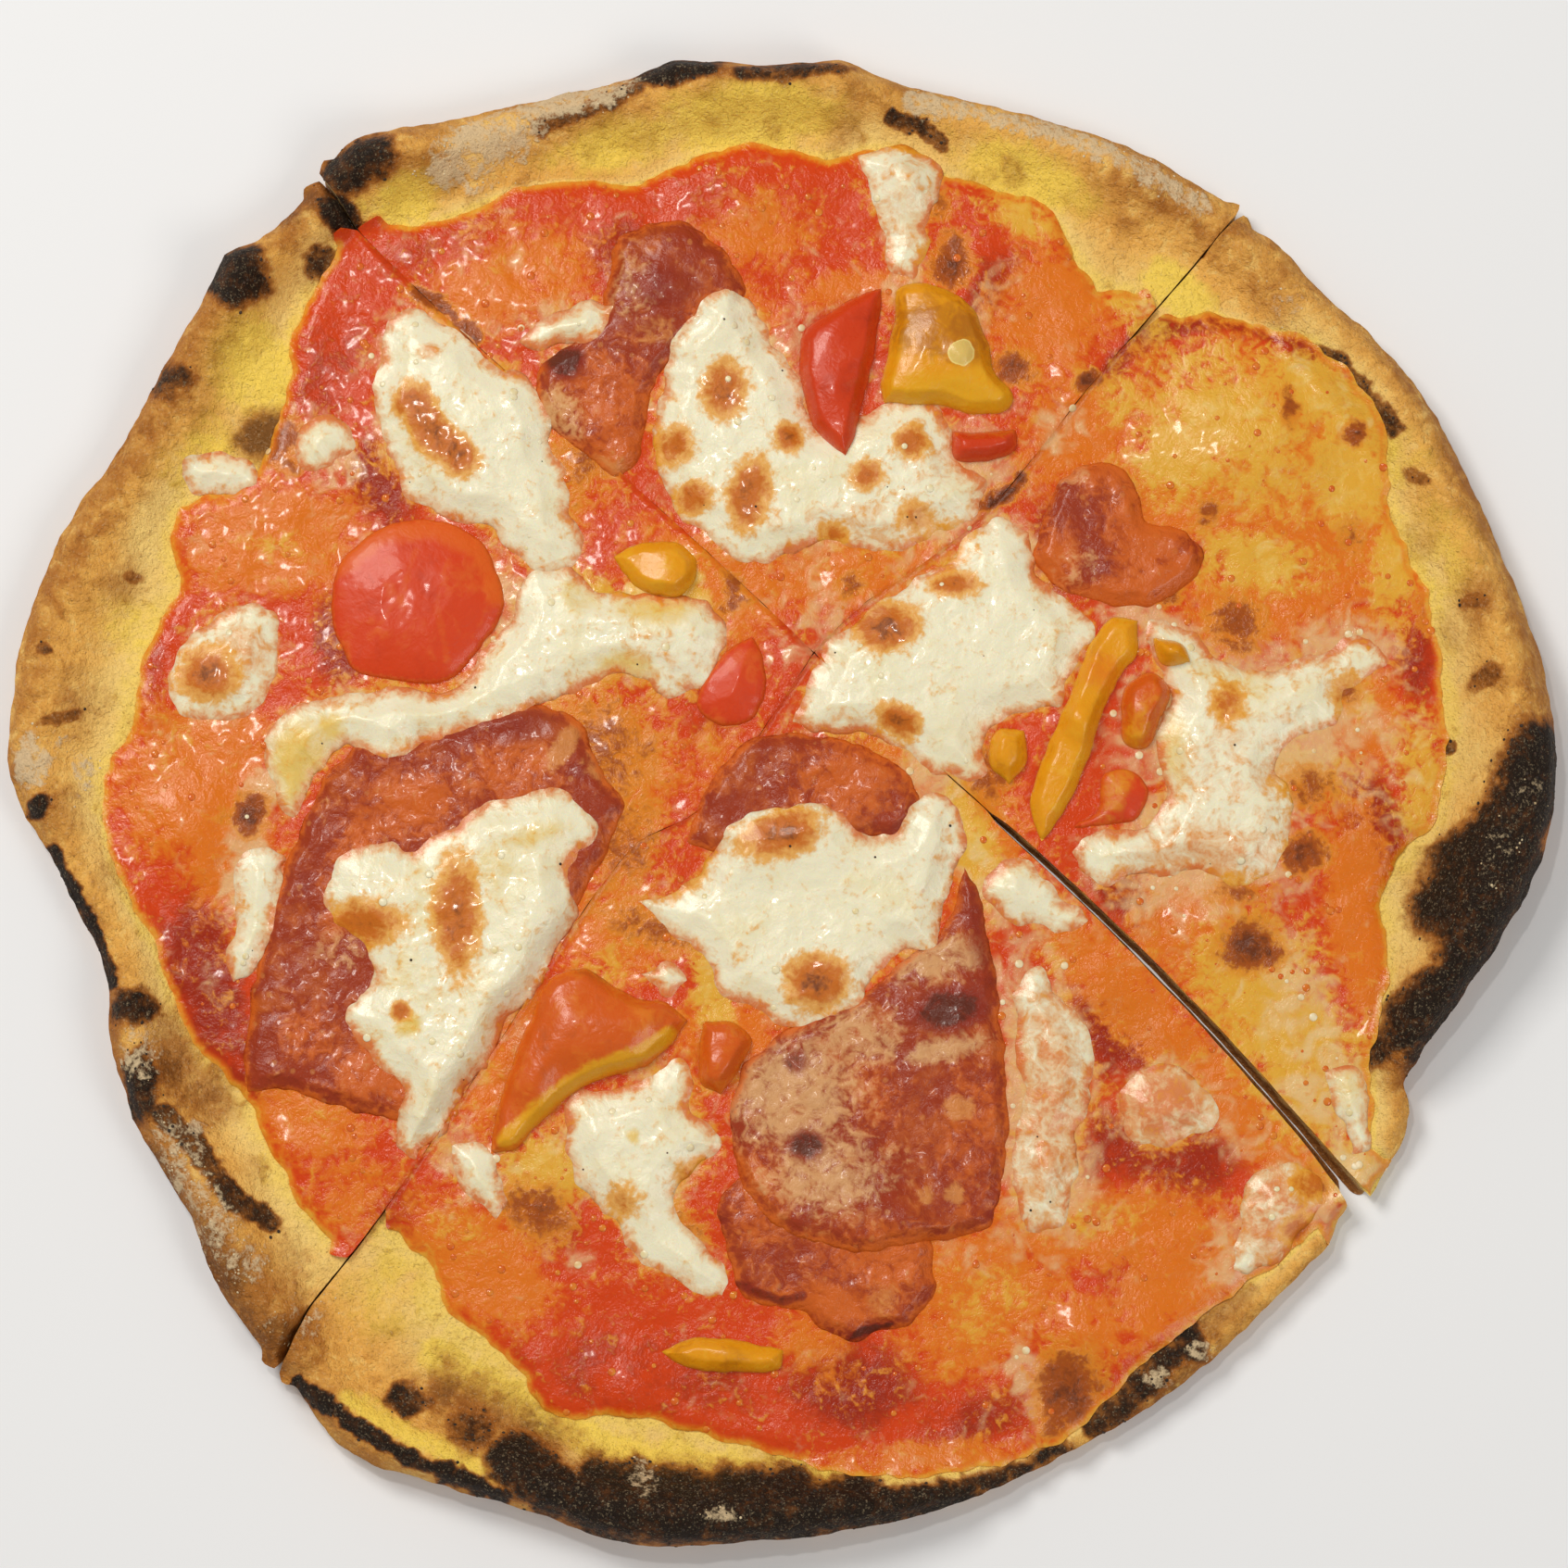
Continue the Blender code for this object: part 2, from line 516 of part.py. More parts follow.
def sheet_bmesh(points, heights, faces):
    """An open sheet in millimetres."""
    bm = bmesh.new()
    verts = [bm.verts.new((x, y, z)) for (x, y), z in zip(points, heights)]
    for face in faces:
        bm.faces.new([verts[i] for i in face])
    return bm


def crust_slice(name):
    """A wedge of dough: its top sheet, its boundary drawn down and tucked in, and a flat base."""
    rim = Rim(RIMS[name])
    ring = slice_ring(name)
    outer = smooth_curve(RIMS[name], RIM_STEP)[1:-1]
    inward = np.array(TIP) - outer[:, :2]
    inward /= np.linalg.norm(inward, axis=1, keepdims=True)
    rows = [outer[:, :2] + inward * outer[:, 2:3] * share for share in RIM_ROWS]
    floor = lattice_within(ring, FLOOR_STEP, 0.4 * FLOOR_STEP)
    floor = floor[rim.share(floor)[0] > RIM_END]
    sauce_line = smooth_curve(SAUCE_EDGES[name], SAUCE_STEP)
    clear = np.vstack([sauce_line] + rows)
    near = np.linalg.norm(floor[:, None] - clear[None], axis=-1).min(axis=1)
    floor = floor[near > 0.35 * FLOOR_STEP]
    to_sauce = [np.linalg.norm(row[:, None] - sauce_line[None], axis=-1).min(axis=1) for row in rows]
    rows = [row[distance > SAUCE_CLEAR] for row, distance in zip(rows, to_sauce)]
    points, faces = fill_plan(ring, np.vstack(rows + [floor]), [clip_to_ring(sauce_line, ring)])
    heights = dough_height(rim, points)
    bm = sheet_bmesh(points, heights, faces)
    close_below(bm, rim)
    return piece_object("crust_" + name, bm), (points, heights, faces)


def clip_to_ring(line, ring):
    """The stretch of a line that lies within the ring, run on to meet the ring at both ends."""
    kept = line[inside(line, ring) & (distance_to_ring(line, ring) > 1.0)]
    ends = []
    for end in (kept[0], kept[-1]):
        offset = ring - end
        ends.append(ring[np.argmin((offset**2).sum(axis=1))])
    return np.vstack([[ends[0]], kept, [ends[1]]])


def close_below(bm, rim):
    """Draws the sheet's boundary down in two steps, curling in under the rim, and fills the base."""
    edges = [e for e in bm.edges if e.is_boundary]
    for height_share, tuck_share in WALL_STEPS:
        drawn = bmesh.ops.extrude_edge_only(bm, edges=edges)["geom"]
        verts = [g for g in drawn if isinstance(g, bmesh.types.BMVert)]
        edges = [g for g in drawn if isinstance(g, bmesh.types.BMEdge)]
        plan = np.array([v.co.xy for v in verts])
        inward = np.array(TIP) - plan
        inward /= np.linalg.norm(inward, axis=1, keepdims=True)
        most = np.minimum(MOST_TUCK, TUCK_SHARE * rim.width_at(plan))
        on_rim = 1 - np.clip(rim.share(plan)[0], 0, 1)
        shifts = inward * (most * tuck_share * on_rim)[:, None]
        for vert, shift in zip(verts, shifts):
            vert.co.x += shift[0]
            vert.co.y += shift[1]
            vert.co.z *= height_share
    bmesh.ops.edgeloop_fill(bm, edges=edges)


def sauce_layer(name, sheet):
    """The sauce lies on the dough's own facets, out to the sauce's edge and to both cuts."""
    points, heights, faces = sheet
    ring = slice_ring(name)
    line = clip_to_ring(smooth_curve(SAUCE_EDGES[name], SAUCE_STEP), ring)
    start, end = (np.argmin(((ring - p) ** 2).sum(axis=1)) for p in (line[0], line[-1]))
    region = np.vstack([ring[: start + 1], line[1:-1], ring[end:]])
    middles = points[np.array(faces)].mean(axis=1)
    kept = [face for face, within in zip(faces, inside(middles, region)) if within]
    used = sorted({i for face in kept for i in face})
    place = {old: new for new, old in enumerate(used)}
    faces = [tuple(place[i] for i in face) for face in kept]
    bm = sheet_bmesh(points[used], heights[used] + LAID_GAP, faces)
    thicken(bm, lambda plan: np.full(len(plan), SAUCE_THICKNESS))
    return piece_object("sauce_" + name, bm)


def thicken(bm, thickness_at):
    """Raises a copy of the sheet by its thickness at each point and walls the two together."""
    raised = bmesh.ops.extrude_face_region(bm, geom=bm.faces[:], use_keep_orig=True)["geom"]
    verts = [g for g in raised if isinstance(g, bmesh.types.BMVert)]
    for vert, rise in zip(verts, thickness_at(np.array([v.co.xy for v in verts]))):
        vert.co.z += rise


class Stack:
    """What is already on the pizza, to lay the next piece on."""

    def __init__(self):
        self.layers = []

    def add(self, piece):
        """Adds a finished object's surface."""
        graph = bpy.context.evaluated_depsgraph_get()
        mesh = piece.evaluated_get(graph).to_mesh()
        matrix = Matrix.Scale(1 / MM, 4) @ piece.matrix_world
        points = np.array([matrix @ v.co for v in mesh.vertices])
        tree = BVHTree.FromPolygons(points.tolist(), [p.vertices[:] for p in mesh.polygons])
        self.layers.append((tree, points[:, :2], points[:, :2].min(axis=0), points[:, :2].max(axis=0)))

    def height(self, x, y):
        """The highest surface at a place on the plan, or None past the edge of everything."""
        above, down = Vector((x, y, 100.0)), Vector((0, 0, -1))
        found = []
        for tree, _, low, high in self.layers:
            if low[0] <= x <= high[0] and low[1] <= y <= high[1]:
                hit = tree.ray_cast(above, down)[0]
                if hit is not None:
                    found.append(hit.z)
        return max(found) if found else None

    def heights(self, points, reach=0.0):
        """The highest surface within reach of each point; over a gap, the lowest of the rest."""
        found = []
        for x, y in points:
            around = [(x, y), (x + reach, y), (x - reach, y), (x, y + reach), (x, y - reach)]
            near = [self.height(*place) for place in (around if reach else around[:1])]
            found.append(max((z for z in near if z is not None), default=None))
        lowest = min((z for z in found if z is not None), default=BASE_THICKNESS)
        return np.array([lowest if z is None else z for z in found])

    def corners_within(self, ring):
        """The mesh corners that lie below a ring on the plan."""
        points = np.vstack([layer[1] for layer in self.layers])
        return points[inside(points, ring)]


def laid_heights(stack, points, faces, ring):
    """Heights that lay a sheet on the stack, clear of it by the gap all over each facet."""
    heights = stack.heights(points, SAMPLE_STEP) + LAID_GAP
    samples = np.vstack([lattice_within(ring, SAMPLE_STEP, 0.0), ring, stack.corners_within(ring)])
    floor = stack.heights(samples, 0.6 * SAMPLE_STEP) + LAID_GAP
    corners = points[np.array(faces)]
    first, along, across = corners[:, 0], corners[:, 1] - corners[:, 0], corners[:, 2] - corners[:, 0]
    area = along[:, 0] * across[:, 1] - along[:, 1] * across[:, 0]
    offset = samples[:, None] - first[None]
    second = (offset[..., 0] * across[:, 1] - offset[..., 1] * across[:, 0]) / area
    third = (along[:, 0] * offset[..., 1] - along[:, 1] * offset[..., 0]) / area
    shares = np.stack([1 - second - third, second, third], axis=-1)
    owner = shares.min(axis=-1).argmax(axis=1)
    weights = np.clip(shares[np.arange(len(samples)), owner], 0, 1)
    weights /= weights.sum(axis=1, keepdims=True)
    owners = np.array(faces)[owner]
    for _ in range(60):
        short = floor - (weights * heights[owners]).sum(axis=1)
        if short.max() < 0.01:
            break
        for corner in range(3):
            lift = 0.6 * np.clip(short, 0, None) * weights[:, corner] / weights.max(axis=1)
            np.maximum.at(heights, owners[:, corner], heights[owners[:, corner]] + lift)
    return heights


def topping(name, outline, stack, thickness, edge_share, arch=0.0):
    """A piece laid on the stack: thin at its outline and full in its middle, arched if it is curled."""
    ring = smooth_curve(outline, TOPPING_STEP, closed=True)
    inner = lattice_within(ring, TOPPING_STEP * 1.25, 0.5 * TOPPING_STEP)
    if not len(inner):
        inner = ring.mean(axis=0, keepdims=True)
    points, faces = fill_plan(ring, inner)
    heights = laid_heights(stack, points, faces, ring)
    depth = distance_to_ring(points, ring)
    heights = heights + arch * np.clip(depth / max(depth.max(), 1e-6), 0, 1) ** 0.7

    def thickness_at(plan):
        """Full over the piece's middle, and less near its outline."""
        full = np.clip(distance_to_ring(plan, ring) / EDGE_RUN, 0, 1)
        return thickness * (edge_share + (1 - edge_share) * np.sqrt(full))

    bm = sheet_bmesh(points, heights, faces)
    thicken(bm, thickness_at)
    piece = piece_object(name, bm)
    bpy.context.view_layer.update()
    stack.add(piece)
    return piece


def fuse_seed(pepper):
    """A flat seed stuck to the pepper, joined to it by a Boolean union."""
    surface = Stack()
    surface.add(pepper)
    top = surface.height(*SEED_PLACE)
    bpy.ops.mesh.primitive_uv_sphere_add(segments=12, ring_count=6, radius=SEED_RADIUS * MM)
    seed = bpy.context.object
    seed.name = "seed_to_fuse"
    seed.scale = SEED_SQUASH
    seed.location = Vector((*SEED_PLACE, top + SEED_RISE)) * MM
    bpy.context.view_layer.update()
    union = pepper.modifiers.new("seed", "BOOLEAN")
    union.operation = "UNION"
    union.object = seed
    with bpy.context.temp_override(object=pepper):
        bpy.ops.object.modifier_apply(modifier=union.name)
    bpy.data.objects.remove(seed)


def clear_scene():
    """Removes whatever the scene holds."""
    for old in list(bpy.data.objects):
        bpy.data.objects.remove(old)


def centre_on_origin():
    """Moves the whole pizza so that the middle of its box on the plan is the origin."""
    bpy.context.view_layer.update()
    pieces = [piece for piece in COLLECTION.objects if piece.type == "MESH"]
    corners = np.array([piece.matrix_world @ v.co for piece in pieces for v in piece.data.vertices])
    middle = (corners.min(axis=0) + corners.max(axis=0)) / 2
    PIZZA.location = (-middle[0], -middle[1], 0)


def build_pizza():
    """Bakes the pizza in the cook's order, each piece laid on what is there."""
    stack = Stack()
    for name in SLICES:
        crust, sheet = crust_slice(name)
        sauce = sauce_layer(name, sheet)
        bpy.context.view_layer.update()
        stack.add(crust)
        stack.add(sauce)
    for name, outline in SALAMI.items():
        topping(name, outline, stack, SALAMI_THICKNESS, SALAMI_EDGE)
    for name, outline in CHEESE.items():
        topping(name, outline, stack, CHEESE_THICKNESS, CHEESE_EDGE)
    for name, outline in TOMATO.items():
        topping(name, outline, stack, TOMATO_THICKNESS, TOMATO_EDGE)
    for name, (outline, arch) in PEPPERS.items():
        topping(name, outline, stack, PEPPER_THICKNESS, PEPPER_EDGE, arch)
    fuse_seed(bpy.data.objects["pepper_yellow_top"])


clear_scene()
COLLECTION = bpy.data.collections.new("diavola_pizza")
bpy.context.scene.collection.children.link(COLLECTION)
PIZZA = bpy.data.objects.new("diavola_pizza", None)
COLLECTION.objects.link(PIZZA)
build_pizza()
centre_on_origin()
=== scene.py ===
"""Looks of a wood-fired diavola pizza, cut in four and lying flat, seen from above.

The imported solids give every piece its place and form. Round each of them this script builds a finer
closed mesh, from the crust upwards, and paints what varies over it: blisters and char on the rim,
oil, pulp and whey in the sauce, toasted spots on the mozzarella, fat in the salami.

Lengths are millimetres on a plan seen from above, +X to the right and +Y away, and become metres
where a mesh is made.
"""

import logging
import math
from dataclasses import dataclass, field
from enum import Enum
from functools import partial
from typing import Callable, Iterable, Optional, Union

import bpy
import numpy as np
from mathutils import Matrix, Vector, geometry


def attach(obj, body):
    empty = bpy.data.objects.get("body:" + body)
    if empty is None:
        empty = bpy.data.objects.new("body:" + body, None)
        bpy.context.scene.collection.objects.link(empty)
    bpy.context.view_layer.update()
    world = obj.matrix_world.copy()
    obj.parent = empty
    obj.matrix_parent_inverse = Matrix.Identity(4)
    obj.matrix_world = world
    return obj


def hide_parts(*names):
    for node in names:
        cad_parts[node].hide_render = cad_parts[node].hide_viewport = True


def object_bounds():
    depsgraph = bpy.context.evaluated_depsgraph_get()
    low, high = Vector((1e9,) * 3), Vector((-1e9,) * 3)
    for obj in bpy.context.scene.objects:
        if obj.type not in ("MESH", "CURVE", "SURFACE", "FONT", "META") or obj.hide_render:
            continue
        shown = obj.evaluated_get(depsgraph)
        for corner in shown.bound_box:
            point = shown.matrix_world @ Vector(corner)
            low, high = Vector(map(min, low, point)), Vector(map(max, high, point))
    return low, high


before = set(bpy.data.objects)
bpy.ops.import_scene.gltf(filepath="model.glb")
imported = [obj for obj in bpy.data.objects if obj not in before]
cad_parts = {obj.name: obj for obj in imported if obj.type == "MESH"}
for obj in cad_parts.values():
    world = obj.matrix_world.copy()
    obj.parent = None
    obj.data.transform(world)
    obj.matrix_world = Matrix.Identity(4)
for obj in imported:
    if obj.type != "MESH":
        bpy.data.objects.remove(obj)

Array = np.ndarray
Colour = tuple[float, float, float]
Field = Callable[[Array], Array]  # gives a number for each place on the plan
Row = tuple  # a mark: x, y, half widths, strength and turn, or a band's route, half width and strength

CAD_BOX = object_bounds()
SQUEEZED = 2.0  # how near the CAD's box, in millimetres, the dressed pieces are squeezed to stay in it
STANDS_OUT = 0.6  # how far beyond that box, in millimetres, they may reach before
LOG = logging.getLogger("pizza")
MM = 0.001
MARKS_MIDDLE = np.array((0.04, -0.25))  # the frame's origin, on the plan that the marks are placed on
CUT_REACH = 3.6  # an edge nearer than this to the next slice was cut
WANDERS = 3.0  # how far, at the most, a mark's edge is moved


def srgb(red: int, green: int, blue: int) -> Colour:
    """A colour as a screen shows it, 0 to 255, as linear light."""
    shares = [value / 255 for value in (red, green, blue)]
    return tuple(s / 12.92 if s < 0.04045 else ((s + 0.055) / 1.055) ** 2.4 for s in shares)


# --- Fields over the plan -------------------------------------------------------------------------
def eased(low: float, high: float, value: Array) -> Array:
    """A smooth step.

    Args:
        low: where it leaves 0.
        high: where it reaches 1; it may be the lower of the two.
        value: the values to map.

    Returns:
        0 to 1 for each value.
    """
    share = np.clip((value - low) / (high - low), 0, 1)
    return share * share * (3 - 2 * share)


def nought(plan: Array) -> Array:
    """Nought for each place."""
    return np.zeros(len(plan))


class Waves:
    """Smooth random waves over the plan, the same on each run."""

    TABLE = 256
    FULL = 1.5  # brings one layer to about -1 to 1
    LAYERED_FULL = 1.3  # brings several to about -1 to 1
    AWAY = 997.3  # keeps the plan's middle off the table's corners, where all waves are nought
    APART = 31.7  # shifts each layer, so that their crests don't meet

    def __init__(self, seed: int) -> None:
        """Draws the table of slopes that the waves come from."""
        angle = np.random.default_rng(seed).random((self.TABLE, self.TABLE)) * 2 * math.pi
        self.slopes = np.stack([np.cos(angle), np.sin(angle)], axis=-1)

    def at(self, plan: Array, wavelength: float) -> Array:
        """One layer of waves.

        Args:
            plan: places, one per row.
            wavelength: distance between crests.

        Returns:
            About -1 to 1 for each place.
        """
        place = plan / wavelength + self.AWAY
        cell = np.floor(place).astype(int)
        share = place - cell
        ease = share**3 * (share * (share * 6 - 15) + 10)
        level = nought(plan)
        for step_x in (0, 1):
            for step_y in (0, 1):
                slope = self.slopes[(cell[:, 0] + step_x) % self.TABLE, (cell[:, 1] + step_y) % self.TABLE]
                rise = slope[:, 0] * (share[:, 0] - step_x) + slope[:, 1] * (share[:, 1] - step_y)
                part_x = ease[:, 0] if step_x else 1 - ease[:, 0]
                part_y = ease[:, 1] if step_y else 1 - ease[:, 1]
                level += rise * part_x * part_y
        return level * self.FULL

    def layered(self, plan: Array, wavelength: float, layers: int = 3, fade: float = 0.5) -> Array:
        """Waves with finer waves on them.

        Args:
            plan: places, one per row.
            wavelength: distance between the largest crests.
            layers: how many sizes of wave, each half the last.
            fade: height of each size as a share of the last.

        Returns:
            About -1 to 1 for each place.
        """
        total, height, sizes = nought(plan), 1.0, 0.0
        for layer in range(layers):
            total += height * self.at(plan + self.APART * layer, wavelength / 2**layer)
            sizes += height
            height *= fade
        return total / sizes * self.LAYERED_FULL


@dataclass(frozen=True)
class Blot:
    """An oval mark on the plan: its middle, half widths, strength and turn in degrees."""

    x: float
    y: float
    half_x: float
    half_y: float = 0.0  # nought for a round one
    strength: float = 1.0
    turn: float = 0.0

    def spread(self, plan: Array) -> Array:
        """Distance of each place from the middle, where 1 is the mark's edge."""
        across, along = (plan + MARKS_MIDDLE - (self.x, self.y)).T
        turn = math.radians(self.turn)
        first = across * math.cos(turn) + along * math.sin(turn)
        second = along * math.cos(turn) - across * math.sin(turn)
        return np.hypot(first / self.half_x, second / (self.half_y or self.half_x))

    def size(self) -> float:
        """Its mean radius."""
        return math.sqrt(self.half_x * (self.half_y or self.half_x))

    def near(self, plan: Array, share: float) -> Array:
        """Which places are within so many times the mark's larger half width."""
        reach = max(self.half_x, self.half_y) * share
        return np.flatnonzero((np.abs(plan + MARKS_MIDDLE - (self.x, self.y)) < reach).all(axis=1))


def streak(route: list[tuple[float, float]], half_width: float, strength: float = 1.0) -> list[Blot]:
    """Round marks in a row, which together make a band.

    Args:
        route: the band's middle line.
        half_width: half its width.
        strength: how strong it is.

    Returns:
        The marks.
    """
    knots = np.array(route)
    lengths = np.hypot(*np.diff(knots, axis=0).T)
    along = np.concatenate([[0], np.cumsum(lengths)])
    stops = np.linspace(0, along[-1], max(2, math.ceil(along[-1] / (0.7 * half_width))))
    places = zip(np.interp(stops, along, knots[:, 0]), np.interp(stops, along, knots[:, 1]))
    return [Blot(x, y, half_width, strength=strength) for x, y in places]


def painted(blots: Iterable[Blot], plan: Array, wander: Array, soft: float) -> Array:
    """How strongly each place is marked.

    Args:
        blots: the marks.
        plan: places, one per row.
        wander: how far, in millimetres, a mark's edge is moved out at each place.
        soft: half width of a mark's edge as a share of its size.

    Returns:
        0 to 1 for each place, the strongest mark winning.
    """
    level = nought(plan)
    for blot in blots:
        near = blot.near(plan, 1 + soft + WANDERS / blot.size())
        if len(near):
            spread = blot.spread(plan[near]) - wander[near] / blot.size()
            level[near] = np.maximum(level[near], blot.strength * eased(1 + soft, 1 - soft, spread))
    return level


def swellings(blots: Iterable[Blot], plan: Array) -> Array:
    """The height of round blisters, each as high in millimetres as its strength."""
    level = nought(plan)
    for blot in blots:
        near = blot.near(plan, 1.0)
        if len(near):
            bulge = np.clip(1 - blot.spread(plan[near]) ** 2, 0, 1) ** 1.6
            level[near] = np.maximum(level[near], blot.strength * bulge)
    return level


def distance_to_line(plan: Array, line: Array, reach: float, batch: int = 12) -> Array:
    """Distance from each place to a line of points.

    Args:
        plan: places, one per row.
        line: the points of the line, in order.
        reach: the furthest that is measured.
        batch: how many of its sides are measured at a time.

    Returns:
        The distances, none over the reach.
    """
    best = np.full(len(plan), float(reach))
    for first in range(0, len(line) - 1, batch):
        part = line[first : first + batch + 1]
        low, high = part.min(axis=0) - reach, part.max(axis=0) + reach
        near = np.flatnonzero(((plan >= low) & (plan <= high)).all(axis=1))
        if not len(near):
            continue
        side = np.diff(part, axis=0)
        offset = plan[near][:, None] - part[:-1]
        share = np.clip((offset * side).sum(-1) / np.maximum((side**2).sum(-1), 1e-12), 0, 1)
        gap = np.sqrt(((offset - share[..., None] * side) ** 2).sum(-1).min(axis=1))
        best[near] = np.minimum(best[near], gap)
    return best


def crossed(first: Array, second: Array) -> Array:
    """The cross products of flat vectors, one per row."""
    return first[:, 0] * second[:, 1] - first[:, 1] * second[:, 0]


def closed(ring: Array, every: int = 1) -> Array:
    """A ring as a line that ends where it starts, with one in so many of its points."""
    return np.vstack([ring[::every], ring[:1]])


def inside_row(ring: Array, x: Array, y: float) -> Array:
    """True for each x that is inside the closed ring on the row y."""
    start, end = ring, np.roll(ring, -1, axis=0)
    spans = (start[:, 1] > y) != (end[:, 1] > y)
    start, end = start[spans], end[spans]
    crossings = start[:, 0] + (y - start[:, 1]) * (end[:, 0] - start[:, 0]) / (end[:, 1] - start[:, 1])
    return np.searchsorted(np.sort(crossings), x) % 2 == 1


class Relief:
    """Numbers on a square grid over the whole plan, such as heights; nan where there is nothing."""

    STEP = 0.5
    LOW = np.array((-150.0, -146.0))
    SHAPE = (601, 585)

    def __init__(self, heights: Optional[Array] = None) -> None:
        """Keeps the numbers, or starts with nothing."""
        self.heights = np.full(self.SHAPE, np.nan) if heights is None else heights

    @classmethod
    def mask(cls, ring: Array) -> Array:
        """Which of the grid's points are inside a closed ring."""
        x = cls.LOW[0] + cls.STEP * np.arange(cls.SHAPE[0])
        y = cls.LOW[1] + cls.STEP * np.arange(cls.SHAPE[1])
        found = np.zeros(cls.SHAPE, bool)
        for row in np.flatnonzero((y > ring[:, 1].min()) & (y < ring[:, 1].max())):
            found[:, row] = inside_row(ring, x, y[row])
        return found

    @classmethod
    def over(cls, solid: "Solid") -> "Relief":
        """The top of a solid as the grid sees it."""
        heights = np.full(cls.SHAPE, np.nan)
        corners = solid.points[solid.upward()]
        grid = (corners[..., :2] - cls.LOW) / cls.STEP
        low, high = np.ceil(grid.min(axis=1)).astype(int), np.floor(grid.max(axis=1)).astype(int)
        for corner, place, first, last in zip(corners, grid, low, high):
            if (last < first).any():
                continue
            x = np.arange(first[0], last[0] + 1)[:, None]
            y = np.arange(first[1], last[1] + 1)[None]
            (ax, ay), (bx, by), (cx, cy) = place
            area = (bx - ax) * (cy - ay) - (cx - ax) * (by - ay)
            second = ((x - ax) * (cy - ay) - (cx - ax) * (y - ay)) / area
            third = ((bx - ax) * (y - ay) - (x - ax) * (by - ay)) / area
            start, rise_second, rise_third = corner[0, 2], *(corner[1:, 2] - corner[0, 2])
            level = start + second * rise_second + third * rise_third
            met = (second >= -1e-6) & (third >= -1e-6) & (second + third <= 1 + 1e-6)
            patch = heights[first[0] : last[0] + 1, first[1] : last[1] + 1]
            patch[...] = np.fmax(patch, np.where(met, level, np.nan))
        return cls(heights)

    def smoothed(self, spread: float) -> "Relief":
        """These numbers blurred, and carried a little past their edge.

        Args:
            spread: the blur's standard deviation.

        Returns:
            The blurred relief.
        """
        known = np.isfinite(self.heights)
        waves_x, waves_y = np.fft.fftfreq(self.SHAPE[0])[:, None], np.fft.rfftfreq(self.SHAPE[1])[None]
        fall = np.exp(-2 * (math.pi * spread / self.STEP) ** 2 * (waves_x**2 + waves_y**2))
        weight = np.fft.irfft2(np.fft.rfft2(known.astype(float)) * fall, s=self.SHAPE)
        total = np.fft.irfft2(np.fft.rfft2(np.where(known, self.heights, 0)) * fall, s=self.SHAPE)
        return Relief(np.where(weight > 1e-4, total / np.maximum(weight, 1e-4), np.nan))

    def at(self, plan: Array) -> Array:
        """The number at each place, worked out between the grid's points."""
        grid = np.clip((plan - self.LOW) / self.STEP, 0, np.array(self.SHAPE) - 1.001)
        cell = grid.astype(int)
        share = grid - cell
        total, weight = nought(plan), nought(plan)
        for step_x in (0, 1):
            for step_y in (0, 1):
                level = self.heights[cell[:, 0] + step_x, cell[:, 1] + step_y]
                part = np.abs(1 - step_x - share[:, 0]) * np.abs(1 - step_y - share[:, 1])
                part = np.where(np.isfinite(level), part, 0)
                total += part * np.where(np.isfinite(level), level, 0)
                weight += part
        return np.where(weight > 1e-6, total / np.maximum(weight, 1e-6), np.nan)

    def raise_to(self, ring: Array, top: Field) -> None:
        """Lays something inside a ring on these heights, with its top where the function says."""
        met = self.mask(ring)
        plan = self.LOW + self.STEP * np.argwhere(met)
        self.heights[met] = np.fmax(self.heights[met], top(plan))


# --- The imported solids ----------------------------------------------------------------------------
@dataclass
class Solid:
    """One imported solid: its node, corners in millimetres and triangles."""

    node: str
    points: Array
    triangles: Array

    @classmethod
    def of(cls, node: str) -> "Solid":
        """Reads a node, with its doubled corners merged."""
        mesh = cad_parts[node].data
        points = np.empty(len(mesh.vertices) * 3)
        mesh.vertices.foreach_get("co", points)
        mesh.calc_loop_triangles()
        triangles = np.empty(len(mesh.loop_triangles) * 3, int)
        mesh.loop_triangles.foreach_get("vertices", triangles)
        points, place = np.unique(np.round(points.reshape(-1, 3) / MM, 3), axis=0, return_inverse=True)
        return cls(node, points, place.reshape(-1)[triangles].reshape(-1, 3))

    @property
    def quarter(self) -> str:
        """Which slice a crust or a sauce is of."""
        return self.node.split("_")[1]

    def upward(self) -> Array:
        """The triangles that face up."""
        first, second, third = (self.points[self.triangles[:, k], :2] for k in range(3))
        return self.triangles[crossed(second - first, third - first) > 1e-4]

    def outline(self) -> Array:
        """The edge of what faces up, anticlockwise."""
        up = self.upward()
        pairs = np.concatenate([up[:, [0, 1]], up[:, [1, 2]], up[:, [2, 0]]])
        sides = {tuple(side) for side in pairs.tolist()}
        following = {a: b for a, b in sides if (b, a) not in sides}
        rings = []
        while following:
            ring = [next(iter(following))]
            while ring[-1] in following:
                ring.append(following.pop(ring[-1]))
            rings.append(self.points[ring[:-1], :2])
        return max(rings, key=lambda ring: np.ptp(ring, axis=0).prod())


def layer(kinds: Union[str, tuple[str, ...]]) -> list[Solid]:
    """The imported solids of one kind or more, the lowest first."""
    solids = [Solid.of(node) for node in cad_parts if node.startswith(kinds)]
    return sorted(solids, key=lambda solid: solid.points[:, 2].mean())


